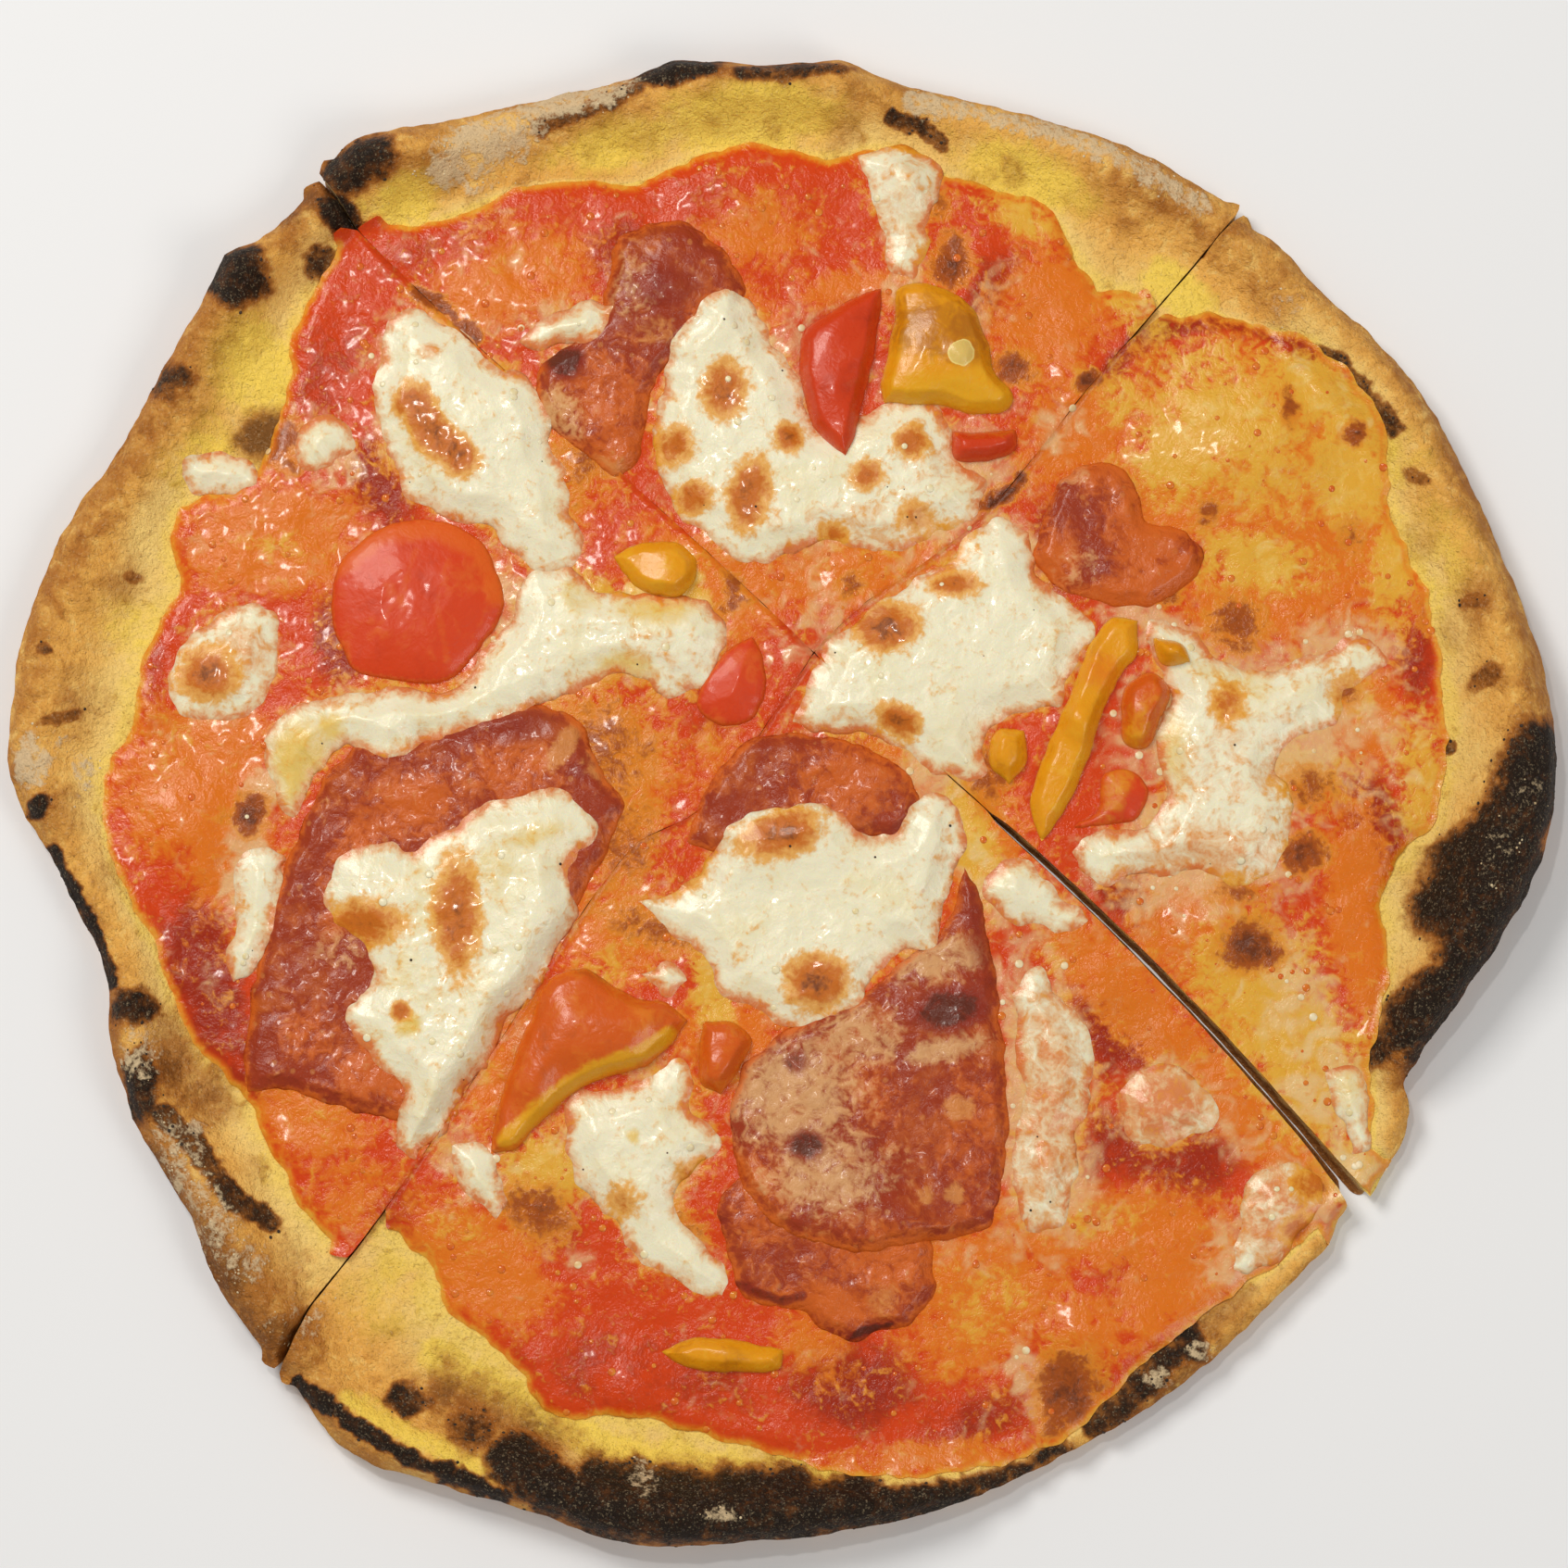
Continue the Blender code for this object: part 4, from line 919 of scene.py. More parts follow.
SAUCE_MARKS = placed({
    Mark.DEEP: [
        ([(58, 76), (66, 84), (78, 87), (90, 84), (98, 79)], 2.6, 0.8), (-103, -32, 7, 15, 1, 10),
        (-95, -50, 8, 8, 0.8), (-113, 26, 5, 14, 0.5), (-62, 100, 16, 7, 0.35, 15),
        (-82, 76, 6, 18, 0.45, -10), (-72, 56, 5, 10, 0.9, 20), (-28, 98, 8, 7, 0.7),
        (-24, -103, 22, 8, 0.55, -6), (12, -106, 12, 8, 0.9), (34, -112, 12, 6, 0.6, 20),
        (105, -5, 6, 10, 0.95, 10), (114.5, 24, 4, 8, 0.8), (62, -18, 9, 5, 0.8, -40),
        (74, -66, 10, 7, 0.8, 10), (60, -43, 12, 8, 0.85, -40), (60, -64, 10, 8, 0.7),
        (51, 44, 6, 10, 0.9), (-12, 108, 14, 6, 0.4), (66, 42, 8, 7, 0.8), (62, 52, 7, 7, 0.5),
        (38, 93, 5, 10, 0.7, -30), (8, 4, 12, 7, 0.7, 30), (-12, 18, 6, 12, 0.5, -30),
        (-75, -50, 12, 6, 0.6, -10), (-79, 28, 5, 7, 0.9), (-68, -77, 5, 9, 0.6, 30),
        (52, -106, 6, 8, 0.85), (60, -86, 6, 9, 0.5), (-42, -78, 7, 6, 0.6),
    ],
    Mark.ORANGE: [
        (-92, 46, 15, 9, 1, 10), (-104, 3, 14), (-99, -12, 9, 9, 0.9), (-50, 92, 16, 8, 0.8, 20),
        (-48, 101, 12, 5, 0.4, 10), (-5, 103, 10, 8, 0.6), (-84, -58, 10, 8, 0.9, -20),
        (-76, -70, 8, 8, 0.6), (-54, -84, 15, 8, 1, -30), (36, -91, 14, 12, 1, 20), (58, -78, 20, 7),
        (70, -88, 14, 9, 0.9, 40), (54, -96, 10, 7, 0.7, 30), (24, -119, 18, 3, 0.7, 5),
        (6, -98, 7, 8, 0.6), ([(52, -27), (64, -38), (78, -52), (96, -70)], 6, 0.85), (80, 62, 22, 18),
        (98, 52, 18, 24), (88, 36, 16, 9, 0.9), (54, 66, 8, 12, 0.9, -40), (104, -22, 6, 22, 1, 8),
        (104, 14, 9, 10, 0.9), (82, -32, 10, 22, 0.9, 40), (70, -24, 8, 8, 0.6), (-14, 38, 14, 12, 0.9),
        (14, 41, 16, 8, 0.9), (-30, 6, 14, 12, 0.8, -30), (-14, 4, 9, 9, 0.5), (20, 4, 8, 8, 0.8),
        (36, -10, 9, 12, 0.9), (-28, -24, 12, 8, 0.9), (-46, -46, 10, 16, 0.8, -30), (-8, -42, 9, 12, 0.8),
        (50, 88, 10, 14, 0.95, -40), (44, 104, 7, 5, 0.7, -20), (14, 92, 14, 4, 0.7), (-8, 88, 8, 7, 0.7),
        (-42, 55, 9, 14, 0.8, -30),
    ],
    Mark.YELLOW: [
        (72, 61, 9, 8, 0.9, -20), (103, 58, 9, 10, 0.9, 20), (86, 42, 12, 6, 0.8, -10),
        (98, 72, 13, 6, 0.85, -30), (112, 45, 5, 14, 0.8, -10), (62, 72, 8, 5, 0.5, -40),
        (94, -48, 10, 17, 0.9, 30), (86, -34, 11, 14, 0.8, 20), (95, 4, 8, 6, 0.7), (116, 4, 6, 12, 0.7),
        (104, -68, 7, 7, 1.2), (82, 68, 16, 9, 0.8, -20), (76, 78, 7, 5, 0.7), (90, 60, 14, 12, 0.6),
        (104, 18, 4, 6, 0.5), ([(-38, 37), (-28, 34), (-18, 42), (-16, 34), (-22, 26)], 3.4),
        (-60, -79, 6, 6, 0.35), (-108, 8, 8, 6, 0.25), (-42, -68, 8, 6, 0.9),
        (-12, -36, 3.5, 12, 0.95, 10), (34, -8, 4, 12, 0.95, 20), (64, 90, 10, 5, 0.6, -40),
        (44, 106, 8, 4, 0.7, -20), (36, -92, 9, 8, 0.4), (56, -77, 10, 4, 0.4), (70, -55, 5, 6, 0.9, 30),
        (-84, -58, 6, 3, 0.3, -20), (-90, 45, 7, 3, 0.4), (-34, -34, 3, 16, 0.4, -45),
        (50, -30, 5, 5, 0.3),
    ],
    Mark.MILKY: [
        ([(-91, 4), (-95, -4), (-97, -12), (-98, -20)], 3.4, 0.95),
        ([(-66, 74), (-74, 80), (-70, 88)], 2.4, 0.5), (-83, 63, 7, 6, 0.75, -15),
        (-101, 59.8, 8, 4, 1, 10), (-94, 65, 8, 6, 0.5), (102, 26, 9, 6, 0.9), (98, 12, 9, 6, 0.7),
        (92, -36, 8, 12, 0.7, 20), (97, -52, 8, 9, 0.8, 30), (46, -54, 9, 26, 0.95, 6),
        (68, -55, 10, 8, 0.6, 20), (82, -62, 6, 10, 0.45, 45), (86, -82, 12, 7, 0.85, 40),
        (93, -74, 8, 9, 0.95, 30), (23, 96, 4, 10, 0.9, 10), (0, 62, 20, 14, 0.8), (28, 56, 14, 12, 0.85),
        (40, 43, 8, 8, 0.9), (4, 78, 10, 10, 0.7), (50, 66, 4, 6, 0.6, -40), (6, 30, 8, 9, 0.5),
        (-56, -66, 8, 5, 0.75, -40), (-38, -84, 5, 4, 0.5, 20), (38, 92, 4, 8, 0.3),
        (44, -104, 3, 8, 0.9, 15), (38, -82, 8, 4, 0.4), (84, 12, 24, 16), (76, -10, 18, 12),
        (104, -68, 6), (68, 30, 10, 5, 0.8, -20), (-50, 32, 10, 8, 0.8, 30), (-44, 86, 10, 4, 0.6, 10),
        (26, 0, 7, 9, 0.6), (40, -18, 10, 6, 0.8), (60, 4, 5, 8, 0.5),
    ],
    Mark.TOAST: [
        (-92.6, 65, 5.2, 4, 0.95), (-95.8, -3.8, 3.4, 3, 0.95), (-88, 60, 3, 2, 0.5),
        (-99.5, 27, 3, 2, 0.4), (60, 40, 3, 3, 0.6), (70, 36, 3, 2, 0.6), (13, 38, 2.4, 2, 0.6),
        (-31, 8, 9, 10, 0.55), (-28, -9, 7, 8, 0.5), (-24, -24, 10, 4, 0.5, -20),
        (-44, -50, 3, 14, 0.5, -30), (-20, 24, 8, 5, 0.45, -20), (-36, 60, 5, 8, 0.5, -30),
        (84.3, -27.6, 5, 4.4, 0.95), (94.6, -10.9, 3.6, 3.4, 0.9), (95.2, 1.3, 5, 4, 0.6),
        (83, -17.9, 6, 2.6, 0.5), (82, 16.7, 3.4, 3, 0.6), (101.6, 18.6, 3, 3, 0.5),
        (82.5, 31, 5, 5, 0.7, -30), (92.6, -78.5, 3, 2.6, 0.7), (94, -70.5, 3.5, 3, 0.75),
        (51, -107, 5.5, 7, 0.9), (-43.6, -74.6, 6, 4.4, 0.7, -30), (31, 97, 3.4, 5, 0.85),
        (42, 77.8, 4, 3.4, 0.75), (29, 108, 3, 3, 0.5), (77.3, 51.5, 2.4, 2.4, 0.6),
        (92, 70, 1.6, 3, 0.75), (103.5, 65.5, 2.4, 2, 0.8), (118, 33, 4, 4, 0.5), (103.5, 46, 3, 4, 0.45),
        (-18, -78, 4, 3, 0.5), (56, 75, 2.4, 1.6, 1, 40), ([(37, 52), (40, 54), (43, 57)], 1.6),
        (38, 3, 4, 6, 0.6), ([(-9, 39), (-8, 35), (-10, 33)], 2, 0.6),
        ([(-66, 92), (-60, 88), (-55, 83)], 1.5, 0.8),
    ],
})

CHEESE_MARKS = placed({
    Mark.TOAST: [
        ([(-66.4, 70.8), (-62.5, 64.7), (-58, 61)], 3, 0.95), (-103.2, 21.8, 4.4, 4),
        (-28.8, 40.4, 4, 3, 0.7), (-58, -22, 3.4, 9, 0.9), (-74.7, -23.7, 6, 3.6, 0.8),
        (-68, -39.4, 1.6, 1.6, 0.9), (-10.3, 73.3, 3.4, 4.4, 0.9), (-19.2, 63.1, 3, 3, 0.8),
        (1.3, 64.4, 2.2), (-5.8, 54.1, 3.2, 5.4, 0.95, -10), (-16, 53.5, 3, 2.6, 0.8),
        (15.4, 57.9, 2.6, 2.4, 0.8), (9.6, 47.1, 2.2, 2, 0.7), (24.4, 50.3, 3, 3, 0.5),
        (23.7, 63.7, 3, 2.6, 0.8), (30, 46, 5, 4, 0.35), (22.4, 121, 6, 2.4, 0.85, -20),
        (30.8, 98.3, 4, 4, 0.8), (18.9, 30.1, 4.6, 3.8), (21.2, 13.1, 3.4, 2.5, 0.9, -30),
        (31.4, 37.8, 4, 2, 0.8), (0, -7.7, 6, 3.4, 1, 15), (6.4, -34, 4.6, 4.2), (-21.2, -13.5, 6.4, 4),
        (-11.5, -72.1, 6, 4, 0.9, -30), (-27.9, -73.3, 3, 3, 0.5), (-7.7, -59.9, 3, 3, 0.5),
        (95.2, -70.1, 3.4, 3, 0.7), (84.3, -27.6, 5, 5, 0.9), (94.6, -10.9, 3.4, 3.4, 0.9),
        (95.2, 1.3, 5, 5, 0.45), (83, -17.9, 8, 3, 0.5), (80.5, 16.7, 3, 3, 0.7), (101.6, 18.6, 3, 3, 0.6),
        (81.7, 31.4, 4, 4, 0.5), (92.6, -78.5, 3, 2.6, 0.8), (-41, -34, 2, 2, 0.4), (-34, -17, 2, 2, 0.5),
    ],
    Mark.YELLOW: [
        (-64, 66, 7, 9, 0.5, 40), (-86.2, 5.1, 7, 9, 0.9), (-81.1, 11.5, 3, 3, 0.9), (-28, 22, 6, 4, 0.9),
        (-22, 38, 9, 8), (-36, 36, 5, 4, 0.6), (-66.4, -41.7, 2.6, 2.4, 0.9), (-44, -8, 8, 3, 0.6, 20),
        (-52, -14, 6, 5, 0.5), (-62, -26, 14, 20, 0.4), (82, 20, 8, 8, 0.6), (70, 8, 4, 10, 0.7),
        (-26.2, -61.8, 1.4, 1.4, 0.9), (104.8, 25.6, 6, 6, 0.3), (30, 20, 5, 4, 0.3),
        (-14, -48, 4, 10, 0.6), (100, -40, 10, 20, 0.7), (45, -8, 4, 8, 0.6),
    ],
    Mark.PINK: [
        (-63.8, 80.4, 3, 2.4, 0.9), (-57, 84, 9, 4, 0.5, -35), (-97, 26, 7, 6, 0.9), (-92, 16, 4, 7, 0.7),
        (10.9, 14.1, 2.4, 2, 0.7), (52, 34, 5, 7, 0.4), (84, 4, 20, 14, 0.6), (78, -12, 16, 8, 0.95),
        (80, 16, 5, 5, 0.9), (100, 24, 10, 5, 0.6), (50, 44, 5, 5, 0.6), (12, 48, 26, 6, 0.6),
        (28, 60, 8, 8, 0.6), (-54, 60, 8, 5, 0.4, 40), (22, 106, 6, 12, 0.7), (48, -56, 8, 24, 1.05),
        (68, -56, 12, 10, 1.25), (-22, 24, 8, 8, 0.6), (-40, 20, 8, 3, 0.4, 20), (30, -12, 5, 8, 0.5),
        (12, -44, 8, 3, 0.5), (-24, -36, 5, 4, 0.4), (2, 84, 7, 6, 0.6), (-45, 40, 5, 5, 0.3),
        (80, -54, 4, 4, 0.8), (60, -60, 6, 8, 0.6), (90, -75, 11, 12, 1.15, -30), (-30, 84, 6, 3, 0.4),
        (24, 96, 4, 9, 0.5),
    ],
})

SALAMI_MARKS = placed({
    Mark.DARK: [
        (30.1, -39.1, 7, 4.4, 1, 10), (4.5, -63.4, 3.4, 3), (2.6, -48.3, 2.6, 2.4, 0.8),
        (-39.1, 78.5, 4, 3.6), (-46, 12.2, 8, 4, 0.6, 10), (-20, 92, 7, 5, 0.6),
        ([(10.3, -99), (14, -96.5), (19.9, -95)], 0.8), ([(-8, -88), (0, -91), (4, -90)], 0.9, 0.8),
        (-84, -28, 4, 14, 0.4), (-58, 12, 5, 4, 0.6), (36, -24, 4, 10, 0.6, 10), (32, -62, 8, 8, 0.3),
    ],
    Mark.FAT: [
        (-39, 8.3, 2, 5, 0.9, -30), (-32.7, 5.1, 3, 3, 0.7), (32, -56.7, 3, 2.6, 0.8),
        (30.8, -72, 2, 2, 0.8), (25.6, -72, 2, 1.6, 0.7), (17.9, -91.3, 3, 3, 0.6), (-41, 69.5, 4, 5, 0.7),
        (-32, 58, 5, 4, 0.7), (-22, 84, 4, 3, 0.5),
    ],
    Mark.MILKY: [
        (2, -54, 14, 10, 0.8), (8, -68, 12, 8, 0.7), (14, -44, 8, 6, 0.7), (28, -30, 9, 4, 0.75, 10),
        (30, -46, 8, 2.4, 0.8, 10), (-6, 76, 7, 12, 0.6), (-40, 68, 5, 6, 0.6), (-28, 92, 6, 6, 0.4),
        (51, 60, 5, 5, 0.7), (54, 40, 5, 6, 0.4), (-79, -28, 7, 4, 0.4),
    ],
    Mark.ORANGE: [
        (-76, -12, 5, 16, 0.6, -20), (-66, -2, 9, 6, 0.7, 20), (-48, 4, 8, 6, 0.6),
        (-64, -55, 9, 6, 0.6, -20), (-84, -44, 6, 6, 0.5), (-20, 10, 10, 8, 0.7), (12, 2, 9, 6, 0.7),
        (-44, 26, 5, 4, 0.3), (20, -84, 14, 6, 0.6), (34, -60, 6, 14, 0.45), (16, -54, 6, 8, 0.5),
        (-12, 86, 6, 5, 0.7), (-32, 72, 9, 8, 0.6), (-34, 58, 8, 8, 0.6), (66, 48, 7, 10, 0.8),
        (72, 38, 7, 6, 0.9), (49, 42, 5, 6, 0.8), (58, 60, 7, 5, 0.8), (61, 35, 10, 4, 0.9),
        (-30, 60, 6, 9, 0.8, -30), (-60, -40, 6, 12, 0.8, -30), (-72, -50, 8, 6, 0.7),
        (8, -92, 14, 4, 0.8), (-4, -72, 6, 10, 0.5),
    ],
})

PEPPER_MARKS = placed({
    Mark.YELLOW: [
        ([(-49, -62.5), (-42, -56), (-34, -50.5), (-26, -47.5), (-20, -44)], 1.8),
        (32, 71, 14, 5, 0.9, -8), (62, 6, 3, 14, 0.6, -20),
    ],
    Mark.DARK: [
        (30, 84, 14, 6, 0.75, -8), (-10, 38, 4, 5, 0.7), ([(-48, -36), (-40, -30), (-28, -34)], 1.6, 0.6),
    ],
    Mark.ORANGE: [
        ([(-79, 42), (-72, 47.5), (-62, 48), (-54, 44), (-51, 36)], 2.4, 0.9),
        ([(-74, 28), (-68, 36), (-66, 44)], 0.8, 0.5), ([(-60, 24), (-62, 34), (-60, 42)], 0.8, 0.5),
        (58, 22, 4, 4, 0.6), (52, -8, 3, 6, 0.5), (44, 66, 4, 4, 0.4),
    ],
    Mark.SEED: [(32.7, 79.7, 2.4, 2.3)],
})


def mark_traits(
    marks: dict[Mark, list[Blot]], plan: Array, waves: Waves, ragged: float
) -> dict[str, Array]:
    """The traits that some marks give to points.

    Args:
        marks: the marks of each kind.
        plan: the points' places.
        waves: what makes the marks' edges uneven.
        ragged: how far the edges wander, in millimetres.

    Returns:
        Each trait's values by its name.
    """
    wander = ragged * waves.layered(plan, 5.0, 3, 0.65)
    return {
        mark.value: painted(blots, plan, wander, SOFTNESS.get(mark, 0.6)) for mark, blots in marks.items()
    }


# --- Finishes -------------------------------------------------------------------------------------
@dataclass(frozen=True)
class CrustFinish:
    """Baked dough: pale by the sauce, browner outwards, blistered black where the fire caught it; painted
    shade darkens the cut walls towards their foot.
    """

    pale: Colour = srgb(252, 214, 128)
    golden: Colour = srgb(255, 220, 92)
    tan: Colour = srgb(242, 180, 88)
    brown: Colour = srgb(172, 102, 38)
    scorched: Colour = srgb(84, 48, 24)
    soot: Colour = srgb(34, 25, 19)
    flour: Colour = srgb(226, 200, 160)
    crumb: Colour = srgb(214, 186, 128)

    def material(self) -> bpy.types.Material:
        """Makes the finish."""
        r = Recipe("baked_crust")
        rim, char, brown = r.trait("rim"), r.trait("char"), r.trait("brown")
        clouds, mottle = r.noise(14, 3, 0.4, 1), r.noise(4.5, 4, 0.6, 2, 0.6)
        fine, grain = r.noise(1.3, 3, 0.3, 3, 0.6), r.noise(0.42, 2, 0, 4, 0.7)
        floury = r.trait("flour") + fine * 0.35 + mottle * 0.25 + grain * 0.12
        colour = r.layered(
            self.pale,
            ((rim + clouds * 0.18).rising(0.0, 0.55), self.tan),
            ((mottle + clouds * 0.5).rising(0.0, 1.1) * (0.1 + rim * 0.42), self.brown),
            ((rim + clouds * 0.2 + mottle * 0.2).rising(0.55, 1.15) * 0.6, self.brown),
            ((rim * -4.0 + mottle * 0.4 + 1.0).rising(0.2, 1.0) * 0.5, self.golden),
            ((fine + mottle * 0.5).rising(0.35, 1.3) * 0.4, self.brown),
            ((mottle * -0.8 - fine * 0.7).rising(0.2, 1.2) * 0.6, self.pale),
            ((r.trait("gold") + mottle * 0.25 + fine * 0.1).rising(0.1, 0.75) * 0.85, self.golden),
            ((brown + mottle * 0.22 + fine * 0.1).rising(0.1, 0.95) * 0.85, self.brown),
            ((brown + clouds * 0.25 + fine * 0.15).rising(0.65, 1.2) * 0.7, self.scorched),
            ((char + mottle * 0.08 + fine * 0.06).rising(0.02, 0.42) * 0.9, self.brown),
            ((char + mottle * 0.2 + fine * 0.16).rising(0.2, 0.8) * 0.92, self.scorched),
            ((char + mottle * 0.26 + fine * 0.22 + grain * 0.1).rising(0.5, 1.05), self.soot),
            (floury.rising(0.45, 0.95) * 0.85, self.flour),
            (r.trait("crumb").rising(0.2, 0.8) * 0.9, self.crumb),
            # painted shade, darkening the cut walls towards their foot
            (r.trait("shade").rising(0.0, 1.0) * 0.9, self.brown),
            (r.trait("shade").rising(0.4, 1.0) * 0.5, self.scorched),
            (grain.rising(0.1, 1.4) * 0.36, self.flour),
            (grain.rising(-0.1, -1.3) * 0.3, self.scorched),
            (r.trait("under").rising(0.3, 1.0) * (0.55 + clouds * 0.3), self.scorched),
        )
        normal = r.bumps((mottle, 0.12), (fine, 0.15), (grain, 0.08))
        gloss = 0.62 - 0.2 * r.trait("gold") + grain * 0.05
        return r.finish(colour, gloss, normal, Specular_IOR_Level=0.12)


@dataclass(frozen=True)
class SauceFinish:
    """Cooked tomato under oil: red pulp, orange where oil and cheese have run into it."""

    red: Colour = srgb(212, 66, 12)
    deep: Colour = srgb(146, 34, 10)
    orange: Colour = srgb(226, 122, 26)
    amber: Colour = srgb(228, 176, 60)
    whey: Colour = srgb(230, 192, 140)
    toast: Colour = srgb(158, 72, 18)
    honey: Colour = srgb(222, 138, 36)
    butter: Colour = srgb(238, 204, 112)
    soot: Colour = srgb(88, 38, 16)

    def material(self) -> bpy.types.Material:
        """Makes the finish."""
        r = Recipe("tomato_sauce")
        clouds, mottle = r.noise(11, 3, 0.8, 11), r.noise(3.4, 4, 0.9, 12, 0.6)
        pulp, fine = r.noise(1.2, 3, 0.5, 13, 0.6), r.noise(0.45, 2, 0.2, 14)
        lace = mottle * 0.34 + pulp * 0.16
        veil = r.noise(4.6, 2, 1.4, 15, 0.4) * 0.42 + clouds * 0.16 + pulp * 0.05
        toast = r.trait("toast") + mottle * 0.18 + pulp * 0.14
        colour = r.layered(
            self.red,
            ((r.trait("deep") + clouds * 0.22 + lace * 0.6).rising(0.15, 0.8) * 0.85, self.deep),
            ((pulp + clouds * 0.6).rising(0.2, 1.4) * 0.5, self.orange),
            ((r.trait("orange") + clouds * 0.15 + lace).rising(0.1, 0.65) * 0.88, self.orange),
            ((r.trait("yellow") + clouds * 0.1 + lace).rising(0.15, 0.75) * 0.9, self.amber),
            ((r.trait("yellow") + veil + fine * 0.06).rising(0.7, 1.35) * 0.6, self.butter),
            ((r.trait("milky") + veil - 0.2 * r.trait("toast")).rising(0.15, 1.0) * 0.7, self.whey),
            (toast.rising(0.08, 0.35) * 0.75, self.honey),
            (toast.rising(0.32, 0.65) * 0.92, self.toast),
            (toast.rising(0.65, 1.05) * 0.8, self.soot),
            ((r.trait("edge") + lace * 0.6).rising(0.2, 0.9) * 0.75, self.orange),
            ((r.trait("edge") + lace * 0.8).rising(0.6, 1.2) * 0.7, self.amber),
        )
        normal = r.bumps((mottle, 0.07), (pulp, 0.04), (fine, 0.01))
        gloss = 0.22 + mottle * 0.08
        return r.finish(
            colour, gloss, normal, Coat_Roughness=0.1, Coat_Weight=0.12, Specular_IOR_Level=0.3,
            Subsurface_Weight=0.12, Subsurface_Radius=(1.0, 0.3, 0.1), Subsurface_Scale=0.002
        )


@dataclass(frozen=True)
class CheeseFinish:
    """Melted mozzarella: ivory, oily yellow and pink where sauce shows through, toasted in spots."""

    ivory: Colour = srgb(242, 236, 208)
    cream: Colour = srgb(234, 220, 168)
    yellow: Colour = srgb(228, 186, 44)
    pink: Colour = srgb(230, 178, 122)
    sauce: Colour = srgb(216, 102, 28)
    honey: Colour = srgb(232, 162, 34)
    toast: Colour = srgb(200, 104, 4)
    burnt: Colour = srgb(104, 46, 8)

    def material(self) -> bpy.types.Material:
        """Makes the finish."""
        r = Recipe("melted_mozzarella")
        clouds, mottle = r.noise(9, 3, 0.5, 21), r.noise(3.0, 4, 0.8, 22, 0.6)
        fine, grain = r.noise(1.1, 3, 0.3, 23, 0.6), r.noise(0.35, 2, 0, 24)
        toast = r.trait("toast") + mottle * 0.16 + fine * 0.14
        rim = r.trait("edge") + mottle * 0.3 + fine * 0.12 + clouds * 0.3
        colour = r.layered(
            self.ivory,
            ((clouds + mottle * 0.4).rising(-0.2, 1.1) * 0.4, self.cream),
            ((r.trait("yellow") + mottle * 0.2).rising(0.2, 0.95) * 0.8, self.yellow),
            ((r.trait("pink") + mottle * 0.45 + fine * 0.12).rising(0.35, 1.05) * 0.85, self.pink),
            ((r.trait("pink") + mottle * 0.4 + fine * 0.2).rising(0.85, 1.35) * 0.7, self.sauce),
            (rim.rising(0.35, 0.95) * 0.7, self.pink),
            (rim.rising(0.75, 1.2) * 0.85, self.sauce),
            (toast.rising(0.02, 0.35) * 0.85, self.honey),
            (toast.rising(0.28, 0.75) * 0.95, self.toast),
            (toast.rising(0.75, 1.15) * 0.85, self.burnt),
            (r.cells(6.5, 25).rising(0.09, 0.04) * 0.3, self.toast),
        )
        normal = r.bumps((mottle, 0.05), (fine, 0.025), (grain, 0.008))
        gloss = 0.3 + mottle * 0.06 + 0.2 * r.trait("toast")
        return r.finish(
            colour, gloss, normal, Coat_Roughness=0.1, Coat_Weight=0.2, Specular_IOR_Level=0.35,
            Subsurface_Weight=0.25, Subsurface_Radius=(1.0, 0.7, 0.4), Subsurface_Scale=0.0015
        )


@dataclass(frozen=True)
class SalamiFinish:
    """Spicy salami baked in oil: brick red meat, pale fat, dark where it is crisp."""

    meat: Colour = srgb(158, 56, 26)
    rust: Colour = srgb(196, 96, 36)
    maroon: Colour = srgb(138, 42, 28)
    fat: Colour = srgb(216, 142, 76)
    oily: Colour = srgb(216, 104, 32)
    whey: Colour = srgb(222, 172, 118)
    crisp: Colour = srgb(84, 36, 22)

    def material(self) -> bpy.types.Material:
        """Makes the finish."""
        r = Recipe("baked_salami")
        clouds, mottle = r.noise(8, 3, 0.6, 31), r.noise(2.6, 4, 0.8, 32, 0.6)
        fine = r.noise(0.9, 3, 0.4, 33, 0.6)
        grains = r.cells(2.4, 34) + fine * 0.06
        dark, lace = r.trait("dark"), mottle * 0.3 + fine * 0.12
        rim = r.trait("edge") + clouds * 0.3 + lace
        colour = r.layered(
            self.meat,
            ((clouds + mottle * 0.6).rising(-0.3, 1.0) * 0.75, self.rust),
            ((clouds * -1.0 + mottle * 0.3).rising(0.2, 1.2) * 0.7, self.maroon),
            (grains.rising(0.3, 0.16) * 0.4, self.fat),
            ((r.trait("orange") + lace).rising(0.1, 0.7) * 0.8, self.oily),
            ((r.trait("fat") + lace).rising(0.2, 0.8) * 0.75, self.fat),
            ((r.trait("milky") + lace * 1.3).rising(0.2, 0.9) * 0.8, self.whey),
            (rim.rising(0.55, 1.15) * 0.8, self.oily),
            ((dark + mottle * 0.12).rising(0.25, 0.8) * 0.8, self.maroon),
            ((dark + mottle * 0.14 + fine * 0.1).rising(0.7, 1.05) * 0.85, self.crisp),
        )
        normal = r.bumps((mottle, 0.08), (fine, 0.04))
        return r.finish(
            colour, 0.28 + mottle * 0.08, normal, Coat_Roughness=0.12, Coat_Weight=0.15,
            Specular_IOR_Level=0.3
        )


